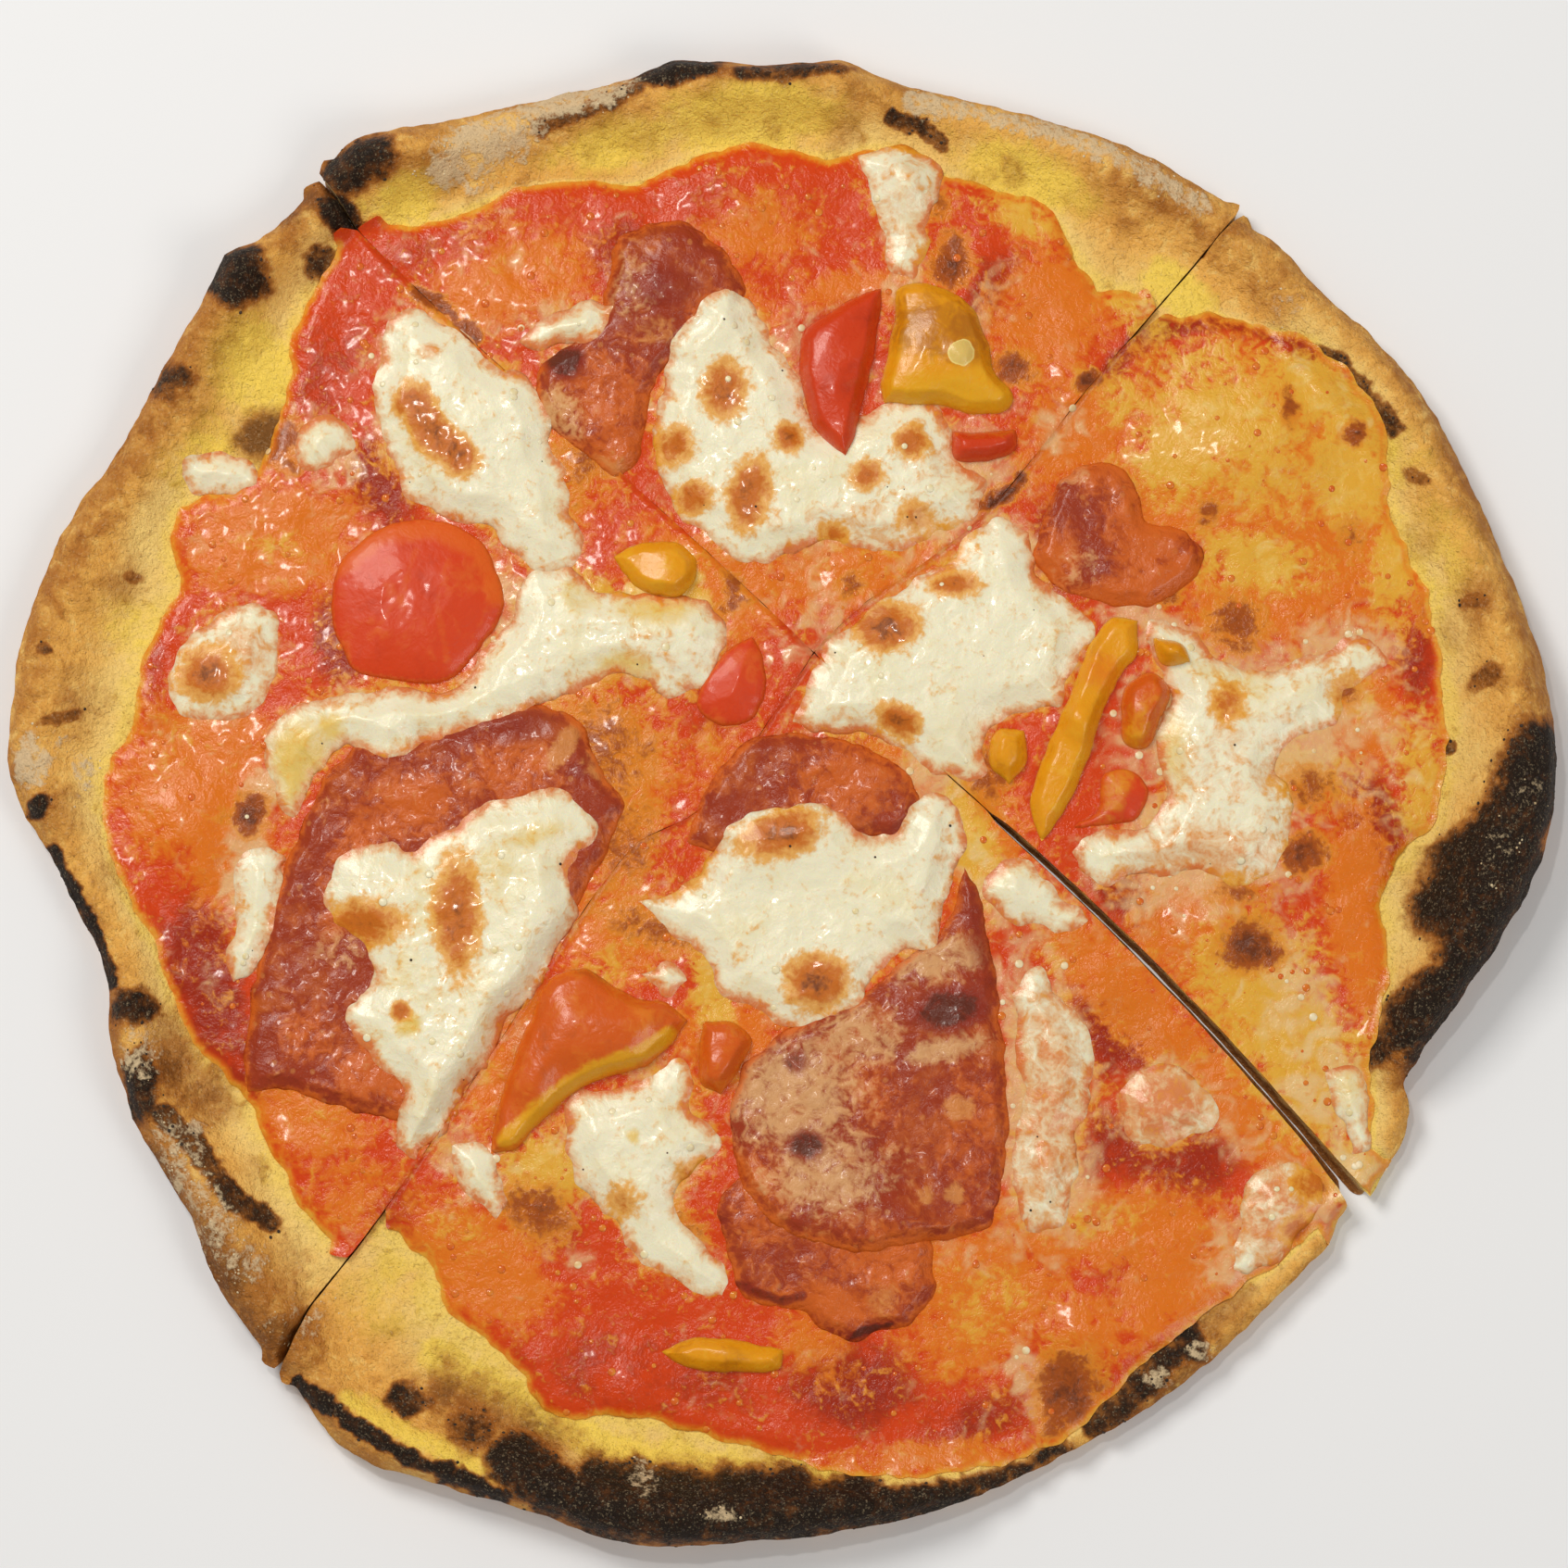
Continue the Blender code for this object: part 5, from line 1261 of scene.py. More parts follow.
@dataclass(frozen=True)
class SkinFinish:
    """Wet vegetable flesh and skin: a body colour, a lighter edge, which is painted light lifting the shade
    on its steep side, and a darker, baked part.
    """

    name: str
    body: Colour
    # lighter streaks in the flesh, and the painted light on the steep edge
    light: Colour
    dark: Colour
    streaks: float = 0.25
    gloss: float = 0.3
    orange: Colour = srgb(224, 100, 24)
    yellow: Colour = srgb(228, 168, 28)
    seed: Colour = srgb(238, 214, 130)
    seed_middle: Colour = srgb(206, 160, 70)

    def material(self) -> bpy.types.Material:
        """Makes the finish."""
        r = Recipe(self.name)
        clouds, mottle = r.noise(7, 3, 0.5, 41), r.noise(2.2, 3, 1.2, 42)
        fine = r.noise(0.6, 2, 0.2, 43)
        colour = r.layered(
            self.body,
            ((clouds + mottle * 0.5).rising(0.0, 1.3) * self.streaks * 1.6, self.light),
            ((clouds * -1.0 + mottle * 0.4).rising(0.2, 1.4) * 0.4, self.dark),
            ((r.trait("orange") + mottle * 0.1).rising(0.2, 0.9) * 0.8, self.orange),
            ((r.trait("yellow") + mottle * 0.15).rising(0.2, 0.9) * 0.85, self.yellow),
            ((r.trait("dark") + mottle * 0.2).rising(0.2, 0.9) * 0.75, self.dark),
            # painted light: the steep edge is lightened, to lift its shade
            ((r.trait("edge") + fine * 0.1).rising(0.8, 1.05) * 0.5, self.light),
            (r.trait("seed").rising(0.2, 0.5), self.seed),
            (r.trait("seed").rising(0.55, 0.9) * 0.5, self.seed_middle),
        )
        normal = r.bumps((clouds, 0.06), (mottle, 0.03), (fine, 0.012))
        return r.finish(
            colour, self.gloss + mottle * 0.06, normal, Coat_Roughness=0.1, Coat_Weight=0.15,
            Specular_IOR_Level=0.3, Subsurface_Weight=0.1,
            Subsurface_Radius=(1.0, 0.4, 0.1), Subsurface_Scale=0.002
        )


@dataclass(frozen=True)
class GrainFinish:
    """A plain grain with a little variation, for flour, ash, pepper and oil."""

    name: str
    colour: Colour
    other: Colour
    roughness: float

    def material(self) -> bpy.types.Material:
        """Makes the finish."""
        r = Recipe(self.name)
        shade = r.noise(1.4, 2, 0, 51)
        colour = r.layered(self.colour, (shade.rising(-0.8, 1.0), self.other))
        return r.finish(colour, self.roughness, None)


# --- The pizza ------------------------------------------------------------------------------------
class Pizza:
    """What is shared by all its pieces: the heights so far, and the slices' outlines."""

    SLICES = ("top", "left", "bottom", "right")

    def __init__(self) -> None:
        """Reads the outlines that more than one piece needs."""
        self.pile = Relief()
        self.crusts = {name: Solid.of("crust_" + name) for name in self.SLICES}
        self.sauces = {name: Solid.of("sauce_" + name) for name in self.SLICES}
        self.borders = {name: solid.outline() for name, solid in self.crusts.items()}
        self.cheese_near = self.cover("cheese").smoothed(2.4)
        self.topped = self.cover(("salami", "cheese", "tomato", "pepper"))

    def cover(self, kinds: Union[str, tuple[str, ...]]) -> Relief:
        """A grid with 1 where toppings of some kinds lie and 0 elsewhere."""
        covered = np.zeros(Relief.SHAPE)
        for solid in layer(kinds):
            covered[Relief.mask(solid.outline())] = 1.0
        return Relief(covered)

    def to_next_slice(self, name: str, plan: Array, reach: float = 8.0) -> Array:
        """Distance from each place to the nearest other slice's outline, up to the reach."""
        others = [ring for other, ring in self.borders.items() if other != name]
        return np.minimum.reduce([distance_to_line(plan, closed(ring), reach) for ring in others])


def press_in(piece: bpy.types.Object) -> None:
    """Squeezes a piece's last millimetres before the CAD's box, so that nothing stands out of it."""
    points = np.empty(3 * len(piece.data.vertices))
    piece.data.vertices.foreach_get("co", points)
    points = points.reshape(-1, 3)
    low, high = np.array(CAD_BOX[0]) + SQUEEZED * MM, np.array(CAD_BOX[1]) - SQUEEZED * MM
    share = SQUEEZED / (SQUEEZED + STANDS_OUT)
    points = np.minimum(points, high + (points - high) * share)
    points[:, :2] = np.maximum(points[:, :2], low[:2] + (points[:, :2] - low[:2]) * share)
    points[:, 2] = np.maximum(points[:, 2], CAD_BOX[0][2])
    piece.data.vertices.foreach_set("co", points.ravel())
    piece.data.update()


def own(piece: bpy.types.Object, slot: str, *nodes: str) -> None:
    """Puts a finished piece on the pizza's one body, in the place of the nodes it stands for."""
    press_in(piece)
    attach(piece, "root")
    if nodes:
        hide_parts(*nodes)
    LOG.info("%s: %d triangles", piece.name, len(piece.data.polygons))


@dataclass
class Layer:
    """What crusts, sauces and toppings share: each adds to the heights that carry the next."""

    pizza: Pizza
    solid: Solid
    marks: dict[Mark, list[Blot]]
    ring_step: float = 0.6  # spacing of points on the outline
    step: float = 0.45  # on the surface
    base_step: float = 6.0  # and on the underside
    margin: float = 0.3  # how far from the outline the surface's points stay
    stray: float = 1.5  # how far the edges of marks wander
    sunk: float = 0.35  # how far it sinks into what carries it
    sharp: float = 60.0  # edges that turn by more than this many degrees stay crisp
    seed: int = 1  # of its waves

    def __post_init__(self) -> None:
        """Draws the waves."""
        self.waves = Waves(self.seed)

    def top(self, plan: Array) -> Array:
        """The height of the upper surface."""
        raise NotImplementedError

    def underside(self, plan: Array) -> Array:
        """The height of what carries it, less how far it sinks in."""
        return self.bed.at(plan) - self.sunk

    def shell(self) -> Shell:
        """The mesh, which goes straight down from its outline to the underside."""
        rows = [(self.ring, self.underside(self.ring))]
        inner = lattice(self.ring, self.step, self.margin)
        return closed_shell(self.ring, inner, self.top, rows, self.underside, self.base_step)

    def traits(self, shell: Shell, plan: Array) -> dict[str, Array]:
        """The numbers that its finish reads, for the mesh's points and their places."""
        return mark_traits(self.marks, plan, self.waves, self.stray)

    def build(self, material: bpy.types.Material, slot: str) -> Shell:
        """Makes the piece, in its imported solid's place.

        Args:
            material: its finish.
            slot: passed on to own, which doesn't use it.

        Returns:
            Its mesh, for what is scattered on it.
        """
        shell = self.shell()
        shell.traits = self.traits(shell, shell.points[:, :2])
        own(shell.piece(self.solid.node + "_baked", material, self.sharp), slot, self.solid.node)
        self.pizza.pile.raise_to(self.ring, self.top)
        return shell


@dataclass
class CrustSlice(Layer):
    """A quarter's bread: a puffed, blistered rim round the flat part that carries the sauce."""

    sharp: float = 75.0
    hidden_step: float = 4.0  # spacing of points under the sauce
    lap: float = 3.0  # how far the fine surface runs on under the sauce
    measured: float = 45.0  # the furthest from the sauce or the rim's edge that is measured
    uncut: float = 5.5  # an edge further than this from the next slice wasn't cut
    rim_away: tuple[float, float] = (60.0, 90.0)  # how far out an edge may be, and surely is, the rim's
    rim_facing: tuple[float, float] = (0.3, 0.75)  # how squarely such an edge faces outwards
    wall_rows: int = 7
    tuck_share: float = 0.42  # how far the underside curls in, as a share of the edge's height
    most_tuck: float = 4.0
    parting: float = 0.1  # how far the squashed foot of a cut stays from the middle of the gap
    crack: float = 0.17  # half width of the crack left where a cut closed again
    blister_count: int = 30
    char_swell: float = 1.25  # size of a charred blister as a share of its black mark's
    swell: float = 0.7  # height of the dough's waves
    edge_blur: float = 0.6  # how far the solid's form is smoothed at the slice's edge
    blur: float = 1.6  # and further in
    dusted: tuple[float, float] = (0.5, 7.5)  # heights between which char and flour come up on the wall

    def __post_init__(self) -> None:
        """Works out the outlines, the blisters, and where the slice was cut."""
        super().__post_init__()
        quarter = self.solid.quarter
        raw = fine_ring(self.pizza.borders[quarter], self.ring_step)
        raw, gap = start_on_cut(raw, self.pizza.to_next_slice(quarter, raw))
        near, away = eased(self.uncut, CUT_REACH, gap), np.hypot(*raw.T)
        facing = np.abs((outward(raw, 3) * raw).sum(axis=1)) / away
        self.cut = near * (1 - eased(*self.rim_away, away) * eased(*self.rim_facing, facing))
        reach = near * shut(raw) * np.clip(0.5 * gap - self.crack, 0, None)
        raw = raw + outward(raw, 3) * reach[:, None]
        self.foot = self.cut * np.clip(0.5 * gap - reach - self.parting, 0, None)
        self.ring = untangled(uneven(raw, self.waves, 6.0, 0.12 + 0.4 * (1 - near)))
        self.calm = self.cut[:, None] * self.ring + (1 - self.cut)[:, None] * calmed(raw, 8)
        self.rim_line = self.ring[self.cut < 0.5][::3]
        sauce = fine_ring(self.pizza.sauces[quarter].outline(), 1.5)
        sauce, gap = start_on_cut(sauce, self.pizza.to_next_slice(quarter, sauce))
        self.sauce_edge = sauce[gap > CUT_REACH]
        self.sauced = Relief(Relief.mask(sauce).astype(float))
        form = Relief.over(self.solid)
        self.edge_form, self.soft_form = form.smoothed(self.edge_blur), form.smoothed(self.blur)
        self.blisters = self.random_blisters() + [self.charred(mark) for mark in self.marks[Mark.CHAR]]

    def charred(self, mark: Blot) -> Blot:
        """The blister under a black mark."""
        half_x, half_y = self.char_swell * mark.half_x, self.char_swell * (mark.half_y or mark.half_x)
        return Blot(mark.x, mark.y, half_x, half_y, min(0.16 * mark.size(), 0.8), mark.turn)

    def random_blisters(self) -> list[Blot]:
        """Small blisters here and there on the rim."""
        rng = np.random.default_rng(len(self.solid.quarter))
        places = self.rim_line[rng.integers(0, len(self.rim_line), self.blister_count)]
        inward = -places / np.linalg.norm(places, axis=1)[:, None]
        places = places + rng.uniform(2, 15, (self.blister_count, 1)) * inward + MARKS_MIDDLE
        sizes, shapes, turns = rng.uniform((1.4, 0.6, 0), (4.2, 1.0, 180), (self.blister_count, 3)).T
        return [
            Blot(x, y, size, size * shape, 0.18 * size, turn)
            for (x, y), size, shape, turn in zip(places, sizes, shapes, turns)
        ]

    def past_sauce(self, plan: Array) -> Array:
        """Distance outwards from the sauce's edge, below nought under the sauce."""
        gap = distance_to_line(plan, self.sauce_edge, self.measured)
        return np.where(self.sauced.at(plan) > 0.5, -gap, gap)

    def top(self, plan: Array) -> Array:
        """The height of the crust's upper surface."""
        depth = distance_to_line(plan, closed(self.ring, 2), 5.0)
        inner = eased(0.0, 4.0, depth)
        soft, crisp = self.soft_form.at(plan), self.edge_form.at(plan)
        level = (1 - inner) * np.where(np.isfinite(crisp), crisp, soft) + inner * soft
        loose = eased(-2, 5, self.past_sauce(plan)) * eased(-0.5, 3, depth)
        rough = self.waves.layered(plan, 12, 2) + 0.45 * self.waves.layered(plan + 71, 4.2, 2)
        fine = 0.1 * self.waves.layered(plan + 13, 1.5, 2)
        return level + loose * (self.swell * rough + fine + swellings(self.blisters, plan))

    def shell(self) -> Shell:
        """The mesh, whose wall curls in at its foot, save at the cuts."""
        fine = lattice(self.ring, self.step, self.margin)
        coarse = lattice(self.ring, self.hidden_step, 1.5)
        shown = fine[self.past_sauce(fine) > -self.lap]
        hidden = coarse[self.past_sauce(coarse) < -self.lap - 1.0]
        height = self.top(self.ring)
        away = outward(self.calm, 8)
        tuck = np.minimum(self.tuck_share * height, self.most_tuck) * (1 - self.cut)
        rows = []
        for turn in np.linspace(0, math.pi / 2, self.wall_rows + 1)[1:]:
            share = math.sin(turn)
            row = (1 - share) * self.ring + share * self.calm
            row = row + away * ((self.foot - tuck) * (1 - math.cos(turn)))[:, None]
            crumb = 0.25 * math.sin(2 * turn) * self.waves.layered(row + 40 * turn, 2.2, 2)
            rows.append((row + away * crumb[:, None], height * (1 - share)))
        inner = np.vstack([shown, hidden])
        return closed_shell(self.ring, inner, self.top, rows, nought, self.base_step)

    def traits(self, shell: Shell, plan: Array) -> dict[str, Array]:
        """The numbers that the finish reads; marks stray and fade as they run down a wall."""
        z = shell.points[:, 2]
        past = np.clip(self.past_sauce(plan), 0, None)
        drop = np.clip(self.top(plan) - z, 0, 12)
        weave = self.waves.layered(np.stack([z, plan[:, 0] + plan[:, 1]], axis=1), 5.0, 2)
        along = np.stack([-plan[:, 1], plan[:, 0]], axis=1) / np.linalg.norm(plan, axis=1)[:, None]
        traits = super().traits(shell, plan + along * (0.45 * drop * weave)[:, None])
        wander = 0.9 * self.waves.layered(plan, 4.0, 3, 0.7)
        spots = painted(self.blisters[: self.blister_count], plan, wander, 0.9)
        traits["brown"] = np.maximum(traits["brown"], 0.75 * spots)
        for name in ("char", "flour"):
            traits[name] = traits[name] * eased(*self.dusted, z + 2.5 * weave)
        traits["rim"] = past / (past + distance_to_line(plan, self.rim_line, self.measured) + 0.5)
        crumb = nought(plan)
        wall = shell.crown + len(self.ring) * np.arange(self.wall_rows)[:, None] + np.arange(len(self.ring))
        crumb[wall] = self.cut
        traits["crumb"] = crumb
        # painted shade on the cut walls: full at their foot, none near their top
        traits["shade"] = crumb * eased(0.8, 0.2, z / np.maximum(self.top(plan), 1.0))
        traits["under"] = (z < 0.3) * (1 - crumb)
        return traits


@dataclass
class SauceLayer(Layer):
    """A quarter's sauce: a wet, lumpy layer that thins out on the rim and ends square at the cuts."""

    BESIDE_CHEESE = {"milky": 0.45, "yellow": 0.55, "orange": 0.9}  # how strongly cheese tints the sauce

    step: float = 0.5
    base_step: float = 5.0
    stray: float = 1.6
    seed: int = 2
    thickness: float = 1.25
    uncut: float = 5.0  # an edge further than this from the next slice wasn't cut
    seam: float = 0.04  # half width of the line left where a cut closed again

    def __post_init__(self) -> None:
        """Works out the outline, and which of it is a free edge."""
        super().__post_init__()
        raw = fine_ring(self.solid.outline(), self.ring_step)
        raw, gap = start_on_cut(raw, self.pizza.to_next_slice(self.solid.quarter, raw))
        cut = eased(self.uncut, CUT_REACH, gap)
        reach = cut * shut(raw) * np.clip(0.5 * gap - self.seam, 0, None)
        ring = uneven(raw, self.waves, 7.0, 0.1 + 1.1 * (1 - cut)) + outward(raw, 3) * reach[:, None]
        self.ring = untangled(ring)
        self.free_edge = self.ring[cut < 0.5]
        self.bed = self.pizza.pile.smoothed(0.5)

    def top(self, plan: Array) -> Array:
        """The height of the sauce."""
        run = distance_to_line(plan, self.free_edge, 6.0)
        swell = self.waves.layered(plan, 11, 2) * 0.4 + self.waves.layered(plan + 50, 3.0, 2) * 0.07
        return self.bed.at(plan) + np.sqrt(eased(-0.4, 3.2, run)) * (self.thickness + swell)

    def traits(self, shell: Shell, plan: Array) -> dict[str, Array]:
        """The numbers that the finish and the scattered things read."""
        traits = super().traits(shell, plan)
        near = self.pizza.cheese_near.at(plan)
        for name, share in self.BESIDE_CHEESE.items():
            traits[name] = np.maximum(traits[name], share * near)
        traits["edge"] = eased(2.5, 0.0, distance_to_line(plan, self.free_edge, 4.0))
        traits["bare"] = (shell.on_top() & (self.pizza.topped.at(plan) < 0.3)).astype(float)
        traits["film"] = traits["bare"] * np.clip(traits["milky"] - 0.3, 0, 1)
        return traits


@dataclass
class Topping(Layer):
    """Something laid on the sauce or on another topping, thinner towards its edge."""

    ring_step: float = 0.5
    step: float = 0.42
    base_step: float = 3.0
    margin: float = 0.22
    stray: float = 0.7
    corner: float = 80.0  # a turn of the outline by more degrees than this stays sharp
    ragged: float = 0.5  # how far the outline wanders
    wavelength: float = 6.0  # of the outline's waves
    slope: float = 2.4  # how far in from its edge it reaches its full height
    least: float = 0.8  # its least full height over what it lies on
    lumps: float = 0.2
    soft: float = 1.1  # how far the solid's form is smoothed
    blunt: float = 0.5  # the power of its edge's rise: small is blunt
    edge_reach: float = 3.0  # how far in the edge's colour runs

    def __post_init__(self) -> None:
        """Works out the outline, and the heights above and below."""
        super().__post_init__()
        ring = fine_ring(self.solid.outline(), self.ring_step, self.corner)
        self.ring = untangled(uneven(ring, self.waves, self.wavelength, self.ragged))
        self.form = Relief.over(self.solid).smoothed(self.soft)
        self.bed = self.pizza.pile.smoothed(0.6)

    def top(self, plan: Array) -> Array:
        """The height of the upper surface."""
        run = distance_to_line(plan, closed(self.ring), self.slope)
        low, high = self.bed.at(plan), self.form.at(plan)
        lift = np.maximum(np.where(np.isfinite(high), high - low, 0), self.least)
        lumps = self.lumps * self.waves.layered(plan, 6, 3)
        return low + (run / self.slope) ** self.blunt * (lift + lumps)

    def traits(self, shell: Shell, plan: Array) -> dict[str, Array]:
        """The numbers that the finish and the scattered things read, nought where it has no such marks."""
        traits = {mark.value: nought(plan) for mark in Mark} | super().traits(shell, plan)
        run = distance_to_line(plan, closed(self.ring), self.edge_reach)
        traits["edge"] = eased(self.edge_reach, 0.0, run)
        traits["bare"] = shell.on_top() * (run > 1.0).astype(float)
        return traits


# --- Small things, scattered ----------------------------------------------------------------------
@dataclass(frozen=True)
class Scatter:
    """Small loose things spread over a surface by Geometry Nodes, each a little solid of its own."""

    name: str
    slot: str
    where: str  # the trait that says how densely they lie
    per_cm2: float
    sizes: tuple[float, float]  # the smallest and the largest half width
    flatness: float
    seed: int
    rounds: int = 1  # subdivisions of each little ball

    def tree(self) -> bpy.types.GeometryNodeTree:
        """Builds the node tree, with named inputs for its sizes."""
        tree = bpy.data.node_groups.new(self.name, "GeometryNodeTree")
        sockets = dict.fromkeys(("Per square metre", "Smallest", "Largest", "Flatness"), "Float")
        sockets |= {"Seed": "Int", "Finish": "Material"}
        tree.interface.new_socket("Geometry", in_out="INPUT", socket_type="NodeSocketGeometry")
        for name, kind in sockets.items():
            tree.interface.new_socket(name, in_out="INPUT", socket_type="NodeSocket" + kind)
        tree.interface.new_socket("Geometry", in_out="OUTPUT", socket_type="NodeSocketGeometry")
        add = partial(add_node, tree)
        given = add("NodeGroupInput", {}, {}).outputs
        share = add("GeometryNodeInputNamedAttribute", {"data_type": "FLOAT"}, {"Name": self.where})
        times = {"operation": "MULTIPLY"}
        density = add("ShaderNodeMath", times, {0: share.outputs[0], 1: given["Per square metre"]})
        spread = {"Mesh": given["Geometry"], "Density": density.outputs[0], "Seed": given["Seed"]}
        points = add("GeometryNodeDistributePointsOnFaces", {}, spread)
        between = {2: given["Smallest"], 3: given["Largest"], "Seed": given["Seed"]}
        size = add("FunctionNodeRandomValue", {"data_type": "FLOAT"}, between).outputs[1]
        flat = add("ShaderNodeMath", times, {0: size, 1: given["Flatness"]})
        scale = add("ShaderNodeCombineXYZ", {}, {0: size, 1: size, 2: flat.outputs[0]})
        ball = add("GeometryNodeMeshIcoSphere", {}, {"Radius": 1.0, "Subdivisions": self.rounds})
        laid = {name: points.outputs[name] for name in ("Points", "Rotation")}
        laid |= {"Instance": ball.outputs["Mesh"], "Scale": scale.outputs[0]}
        balls = add("GeometryNodeInstanceOnPoints", {}, laid)
        real = add("GeometryNodeRealizeInstances", {}, {"Geometry": balls.outputs[0]})
        finished = {"Geometry": real.outputs[0], "Material": given["Finish"]}
        done = add("GeometryNodeSetMaterial", {}, finished)
        tree.links.new(done.outputs[0], add("NodeGroupOutput", {}, {}).inputs[0])
        return tree

    def build(self, shells: list[Shell], material: bpy.types.Material) -> None:
        """Scatters the things over some meshes and makes them one plain piece.

        Args:
            shells: the meshes to scatter over.
            material: the things' finish.
        """
        ground = shells[0]
        for shell in shells[1:]:
            ground = ground.joined(shell)
        host = ground.piece(self.name + "_ground", material)
        tree = self.tree()
        sizes = {
            "Per square metre": self.per_cm2 * 1e4,
            "Smallest": self.sizes[0] * MM,
            "Largest": self.sizes[1] * MM,
            "Flatness": self.flatness,
            "Seed": self.seed,
            "Finish": material,
        }
        modifier = host.modifiers.new("scatter", "NODES")
        modifier.node_group = tree
        for item in tree.interface.items_tree:
            if item.in_out == "INPUT" and item.name in sizes:
                modifier[item.identifier] = sizes[item.name]
        graph = bpy.context.evaluated_depsgraph_get()
        mesh = bpy.data.meshes.new_from_object(host.evaluated_get(graph))
        mesh.name = self.name
        bpy.data.objects.remove(host)
        mesh.shade_smooth()
        own(linked(self.name, mesh), self.slot)


# --- Studio ---------------------------------------------------------------------------------------
@dataclass(frozen=True)
class Studio:
    """A pale floor, soft light from above and the left, and the photograph's camera."""

    elevation: float = 84.0
    distance: float = 1.1
    framed_width: float = 0.2822
    sensor: float = 36.0
    middle: tuple[float, float, float] = (0.00054, 0.002, 0.006)
    light: Colour = (1.0, 0.965, 0.89)
    room_light: float = 0.3
    floor_colour: Colour = srgb(239, 241, 247)
    floor_roughness: float = 0.8
    floor_half: float = 2.5
    floor_level: float = -0.0002
    lamps: tuple[tuple, ...] = (  # name, place, size and watts
        ("key", (-0.7, 0.7, 1.2), 0.5, 12.5),
        ("fill", (0.9, -0.6, 1.1), 0.6, 5.3),
        ("glints", (-0.2, 0.26, 1.25), 0.05, 2.0),
    )

    def lamp(self, name: str, place: tuple[float, float, float], size: float, watts: float) -> None:
        """Adds a square lamp that faces the pizza."""
        light = bpy.data.lights.new(name, "AREA")
        light.size = size
        light.energy = watts
        light.color = self.light
        lamp = linked(name, light)
        lamp.location = place
        lamp.rotation_euler = Vector(place).to_track_quat("Z", "Y").to_euler()

    def build(self) -> None:
        """Makes the floor, the lights and the camera."""
        half, level = self.floor_half, self.floor_level
        corners = [(-half, -half, level), (half, -half, level), (half, half, level), (-half, half, level)]
        mesh = bpy.data.meshes.new("floor")
        mesh.from_pydata(corners, [], [(0, 1, 2, 3)])
        mesh.materials.append(Recipe("pale_floor").finish(self.floor_colour, self.floor_roughness, None))
        floor = linked("floor", mesh)
        world = bpy.data.worlds.new("pale_room")
        world.use_nodes = True
        backdrop = world.node_tree.nodes["Background"]
        backdrop.inputs["Color"].default_value = (*self.light, 1.0)
        backdrop.inputs["Strength"].default_value = self.room_light
        bpy.context.scene.world = world
        for lamp in self.lamps:
            self.lamp(*lamp)
        view = bpy.data.cameras.new("camera")
        view.sensor_width = self.sensor
        view.lens = self.sensor * self.distance / self.framed_width
        view.clip_end = 10.0
        camera = linked("camera", view)
        tilt = math.radians(self.elevation)
        camera.location = Vector(self.middle) + self.distance * Vector((0, -math.cos(tilt), math.sin(tilt)))
        camera.rotation_euler = (math.pi / 2 - tilt, 0, 0)
        bpy.context.scene.camera = camera
        bpy.context.scene.view_settings.view_transform = "Standard"


SKINS = {
    "tomato": SkinFinish(
        "tomato_flesh", srgb(214, 64, 18), srgb(226, 112, 36), srgb(180, 44, 14), streaks=0.3, gloss=0.44
    ),
    "pepper_red": SkinFinish(
        "red_pepper", srgb(208, 62, 22), srgb(222, 98, 44), srgb(166, 42, 16), streaks=0.15
    ),
    "pepper_orange": SkinFinish(
        "orange_pepper", srgb(212, 92, 22), srgb(230, 140, 40), srgb(160, 70, 20), streaks=0.3
    ),
    "pepper_yellow": SkinFinish(
        "yellow_pepper", srgb(230, 154, 18), srgb(238, 186, 44), srgb(166, 92, 18), streaks=0.3
    ),
}

FORMS = {  # how each kind of topping is formed, where it differs from the usual
    "salami": {"ragged": 0.9, "blunt": 0.8, "lumps": 0.5},
    "cheese": {
        "ragged": 2.1, "wavelength": 9.0, "slope": 5.0, "blunt": 0.8, "lumps": 0.3, "edge_reach": 4.0
    },
    "tomato": {"slope": 9.0, "blunt": 0.45, "soft": 2.2, "lumps": 0.12},
    "pepper": {"slope": 2.0, "blunt": 0.6, "lumps": 0.12},
}


def lay_toppings(pizza: Pizza) -> list[Shell]:
    """Lays every topping, the lowest kind first.

    Args:
        pizza: what they lie on.

    Returns:
        The cheeses' meshes, for what is scattered on them.
    """
    salami, cheese = SalamiFinish().material(), CheeseFinish().material()
    skins = {slot: skin.material() for slot, skin in SKINS.items()}
    salamis = sorted(layer("salami"), key=lambda solid: solid.node.endswith("_over"))
    for seed, solid in enumerate(salamis, 60):
        Topping(pizza, solid, SALAMI_MARKS, seed=seed, **FORMS["salami"]).build(salami, "salami")
    cheeses = [
        Topping(pizza, solid, CHEESE_MARKS, seed=seed, **FORMS["cheese"]).build(cheese, "cheese")
        for seed, solid in enumerate(layer("cheese"), 30)
    ]
    for seed, solid in enumerate(layer("tomato") + layer("pepper"), 90):
        slot = next(slot for slot in SKINS if solid.node.startswith(slot))
        kind = slot.split("_")[0]
        Topping(pizza, solid, PEPPER_MARKS, seed=seed, **FORMS[kind]).build(skins[slot], slot)
    return cheeses


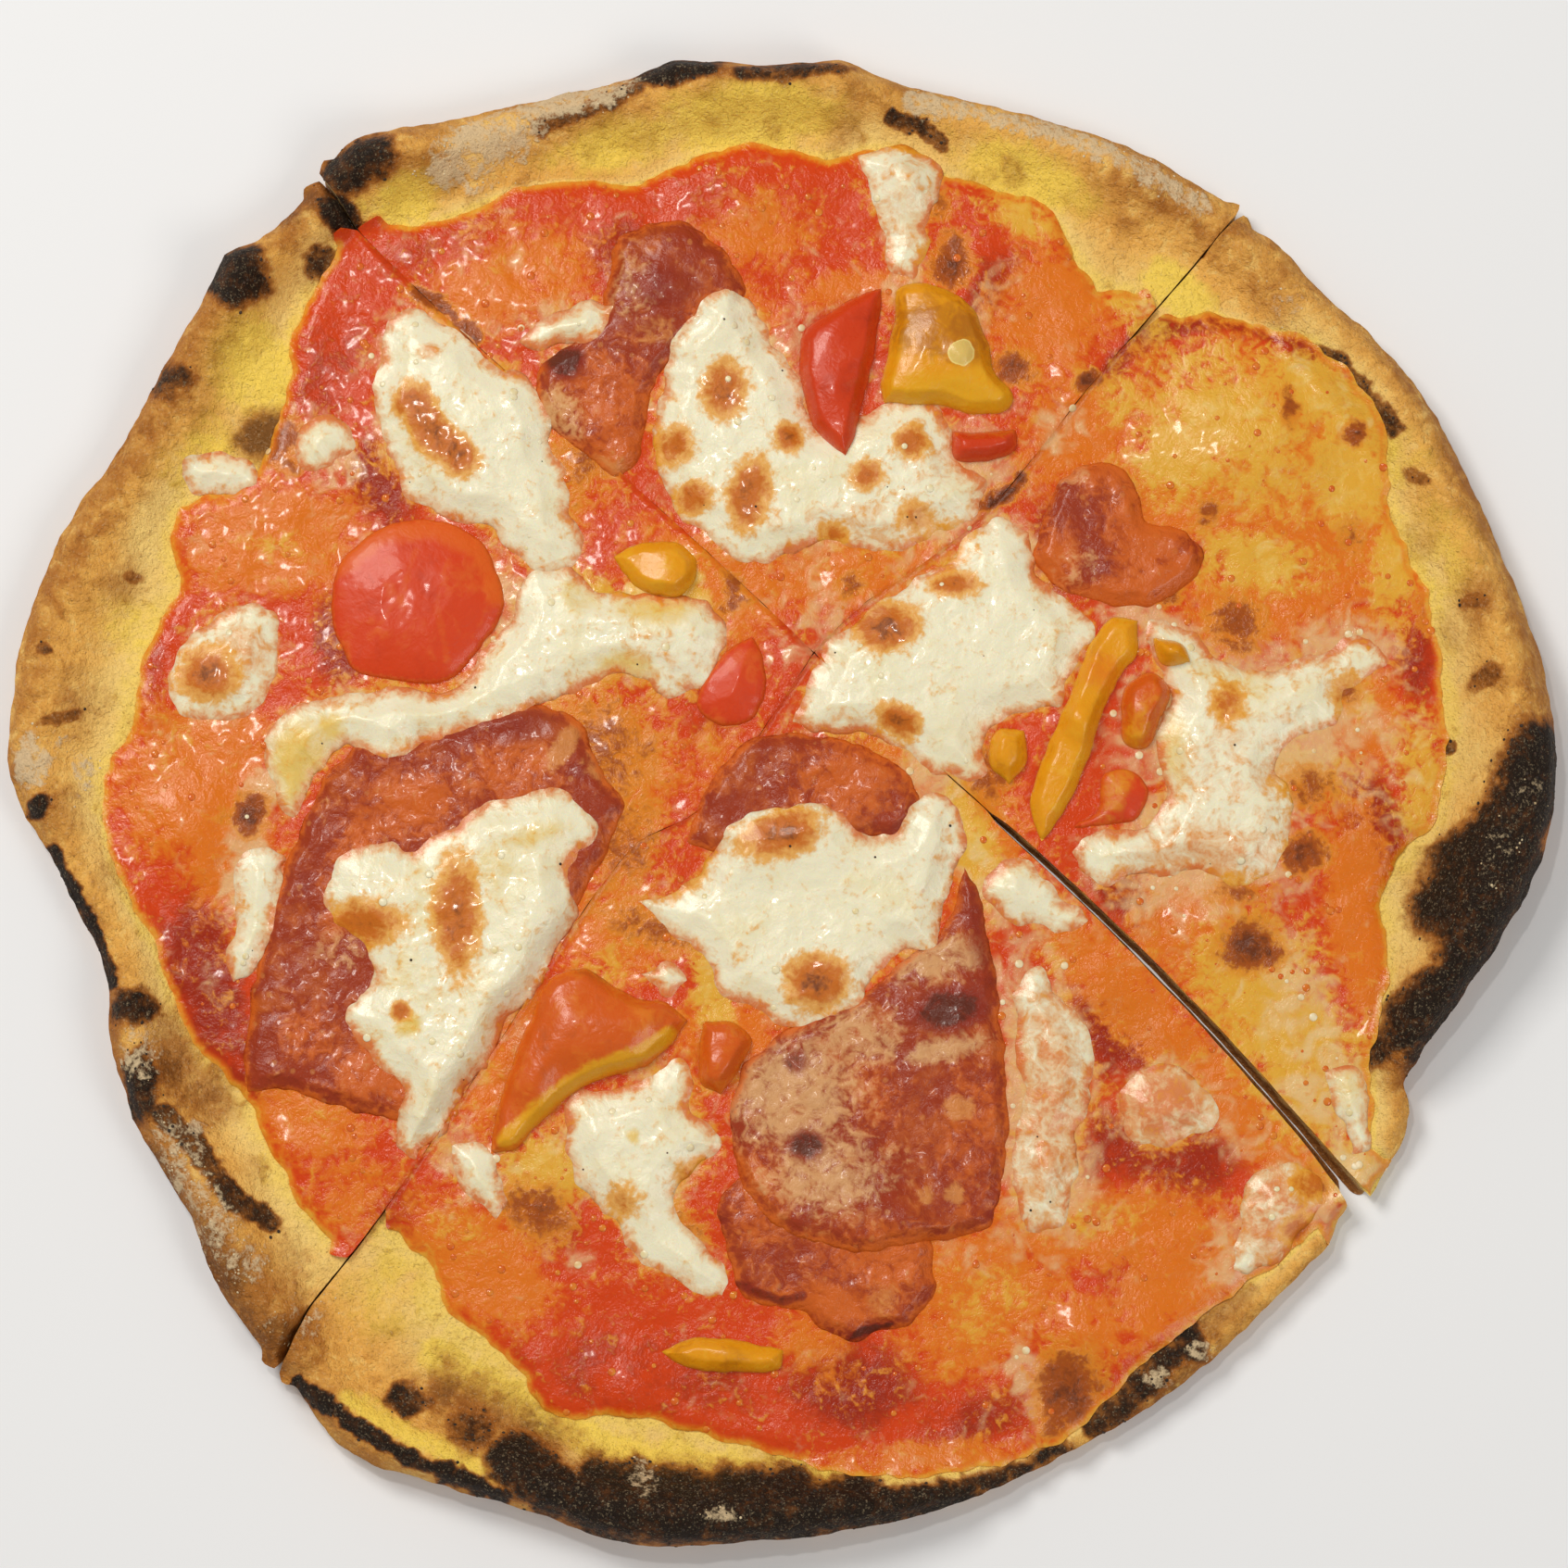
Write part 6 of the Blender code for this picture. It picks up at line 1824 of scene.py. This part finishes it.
def strew(crusts: list[Shell], sauces: list[Shell], cheeses: list[Shell]) -> None:
    """Scatters the small loose things.

    Args:
        crusts: the crusts' meshes, for flour and burnt flakes.
        sauces: the sauces' meshes, for oil and cheese crumbs.
        cheeses: the cheeses' meshes, for bubbles and ground pepper.
    """
    finish = GrainFinish("oil_beads", srgb(214, 96, 28), srgb(222, 132, 44), 0.08)
    oil = Scatter("oil_beads", "sauce", "bare", 1.6, (0.15, 0.8), flatness=0.25, seed=4, rounds=2)
    oil.build(sauces, finish.material())
    finish = GrainFinish("cheese_crumbs", srgb(236, 222, 186), srgb(228, 190, 130), 0.3)
    crumbs = Scatter("cheese_crumbs", "cheese", "film", 5, (0.25, 0.8), flatness=0.15, seed=5, rounds=2)
    crumbs.build(sauces, finish.material())
    finish = GrainFinish("cheese_bubbles", srgb(238, 230, 198), srgb(232, 214, 160), 0.25)
    bubbles = Scatter("cheese_bubbles", "cheese", "bare", 0.6, (0.25, 0.8), flatness=0.2, seed=6, rounds=2)
    bubbles.build(cheeses, finish.material())
    finish = GrainFinish("ground_pepper", srgb(40, 28, 20), srgb(84, 60, 40), 0.7)
    ground = Scatter("ground_pepper", "cheese", "bare", 0.25, (0.12, 0.3), flatness=0.7, seed=9)
    ground.build(cheeses, finish.material())
    finish = GrainFinish("loose_flour", srgb(226, 208, 172), srgb(196, 168, 124), 0.9)
    flour = Scatter("flour_specks", "crust", "flour", 22, (0.12, 0.3), flatness=0.5, seed=7)
    flour.build(crusts, finish.material())
    finish = GrainFinish("burnt_flakes", srgb(34, 25, 19), srgb(70, 50, 36), 0.8)
    ash = Scatter("burnt_flakes", "crust", "char", 22, (0.15, 0.4), flatness=0.45, seed=8)
    ash.build(crusts, finish.material())


def main() -> None:
    """Builds the studio and the pizza."""
    logging.basicConfig(level=logging.INFO, format="%(name)s: %(message)s")
    Studio().build()
    pizza = Pizza()
    dough, tomato = CrustFinish().material(), SauceFinish().material()
    crusts = [CrustSlice(pizza, slab, CRUST_MARKS).build(dough, "crust") for slab in pizza.crusts.values()]
    sauces = [SauceLayer(pizza, slab, SAUCE_MARKS).build(tomato, "sauce") for slab in pizza.sauces.values()]
    cheeses = lay_toppings(pizza)
    strew(crusts, sauces, cheeses)


if __name__ == "__main__":
    main()
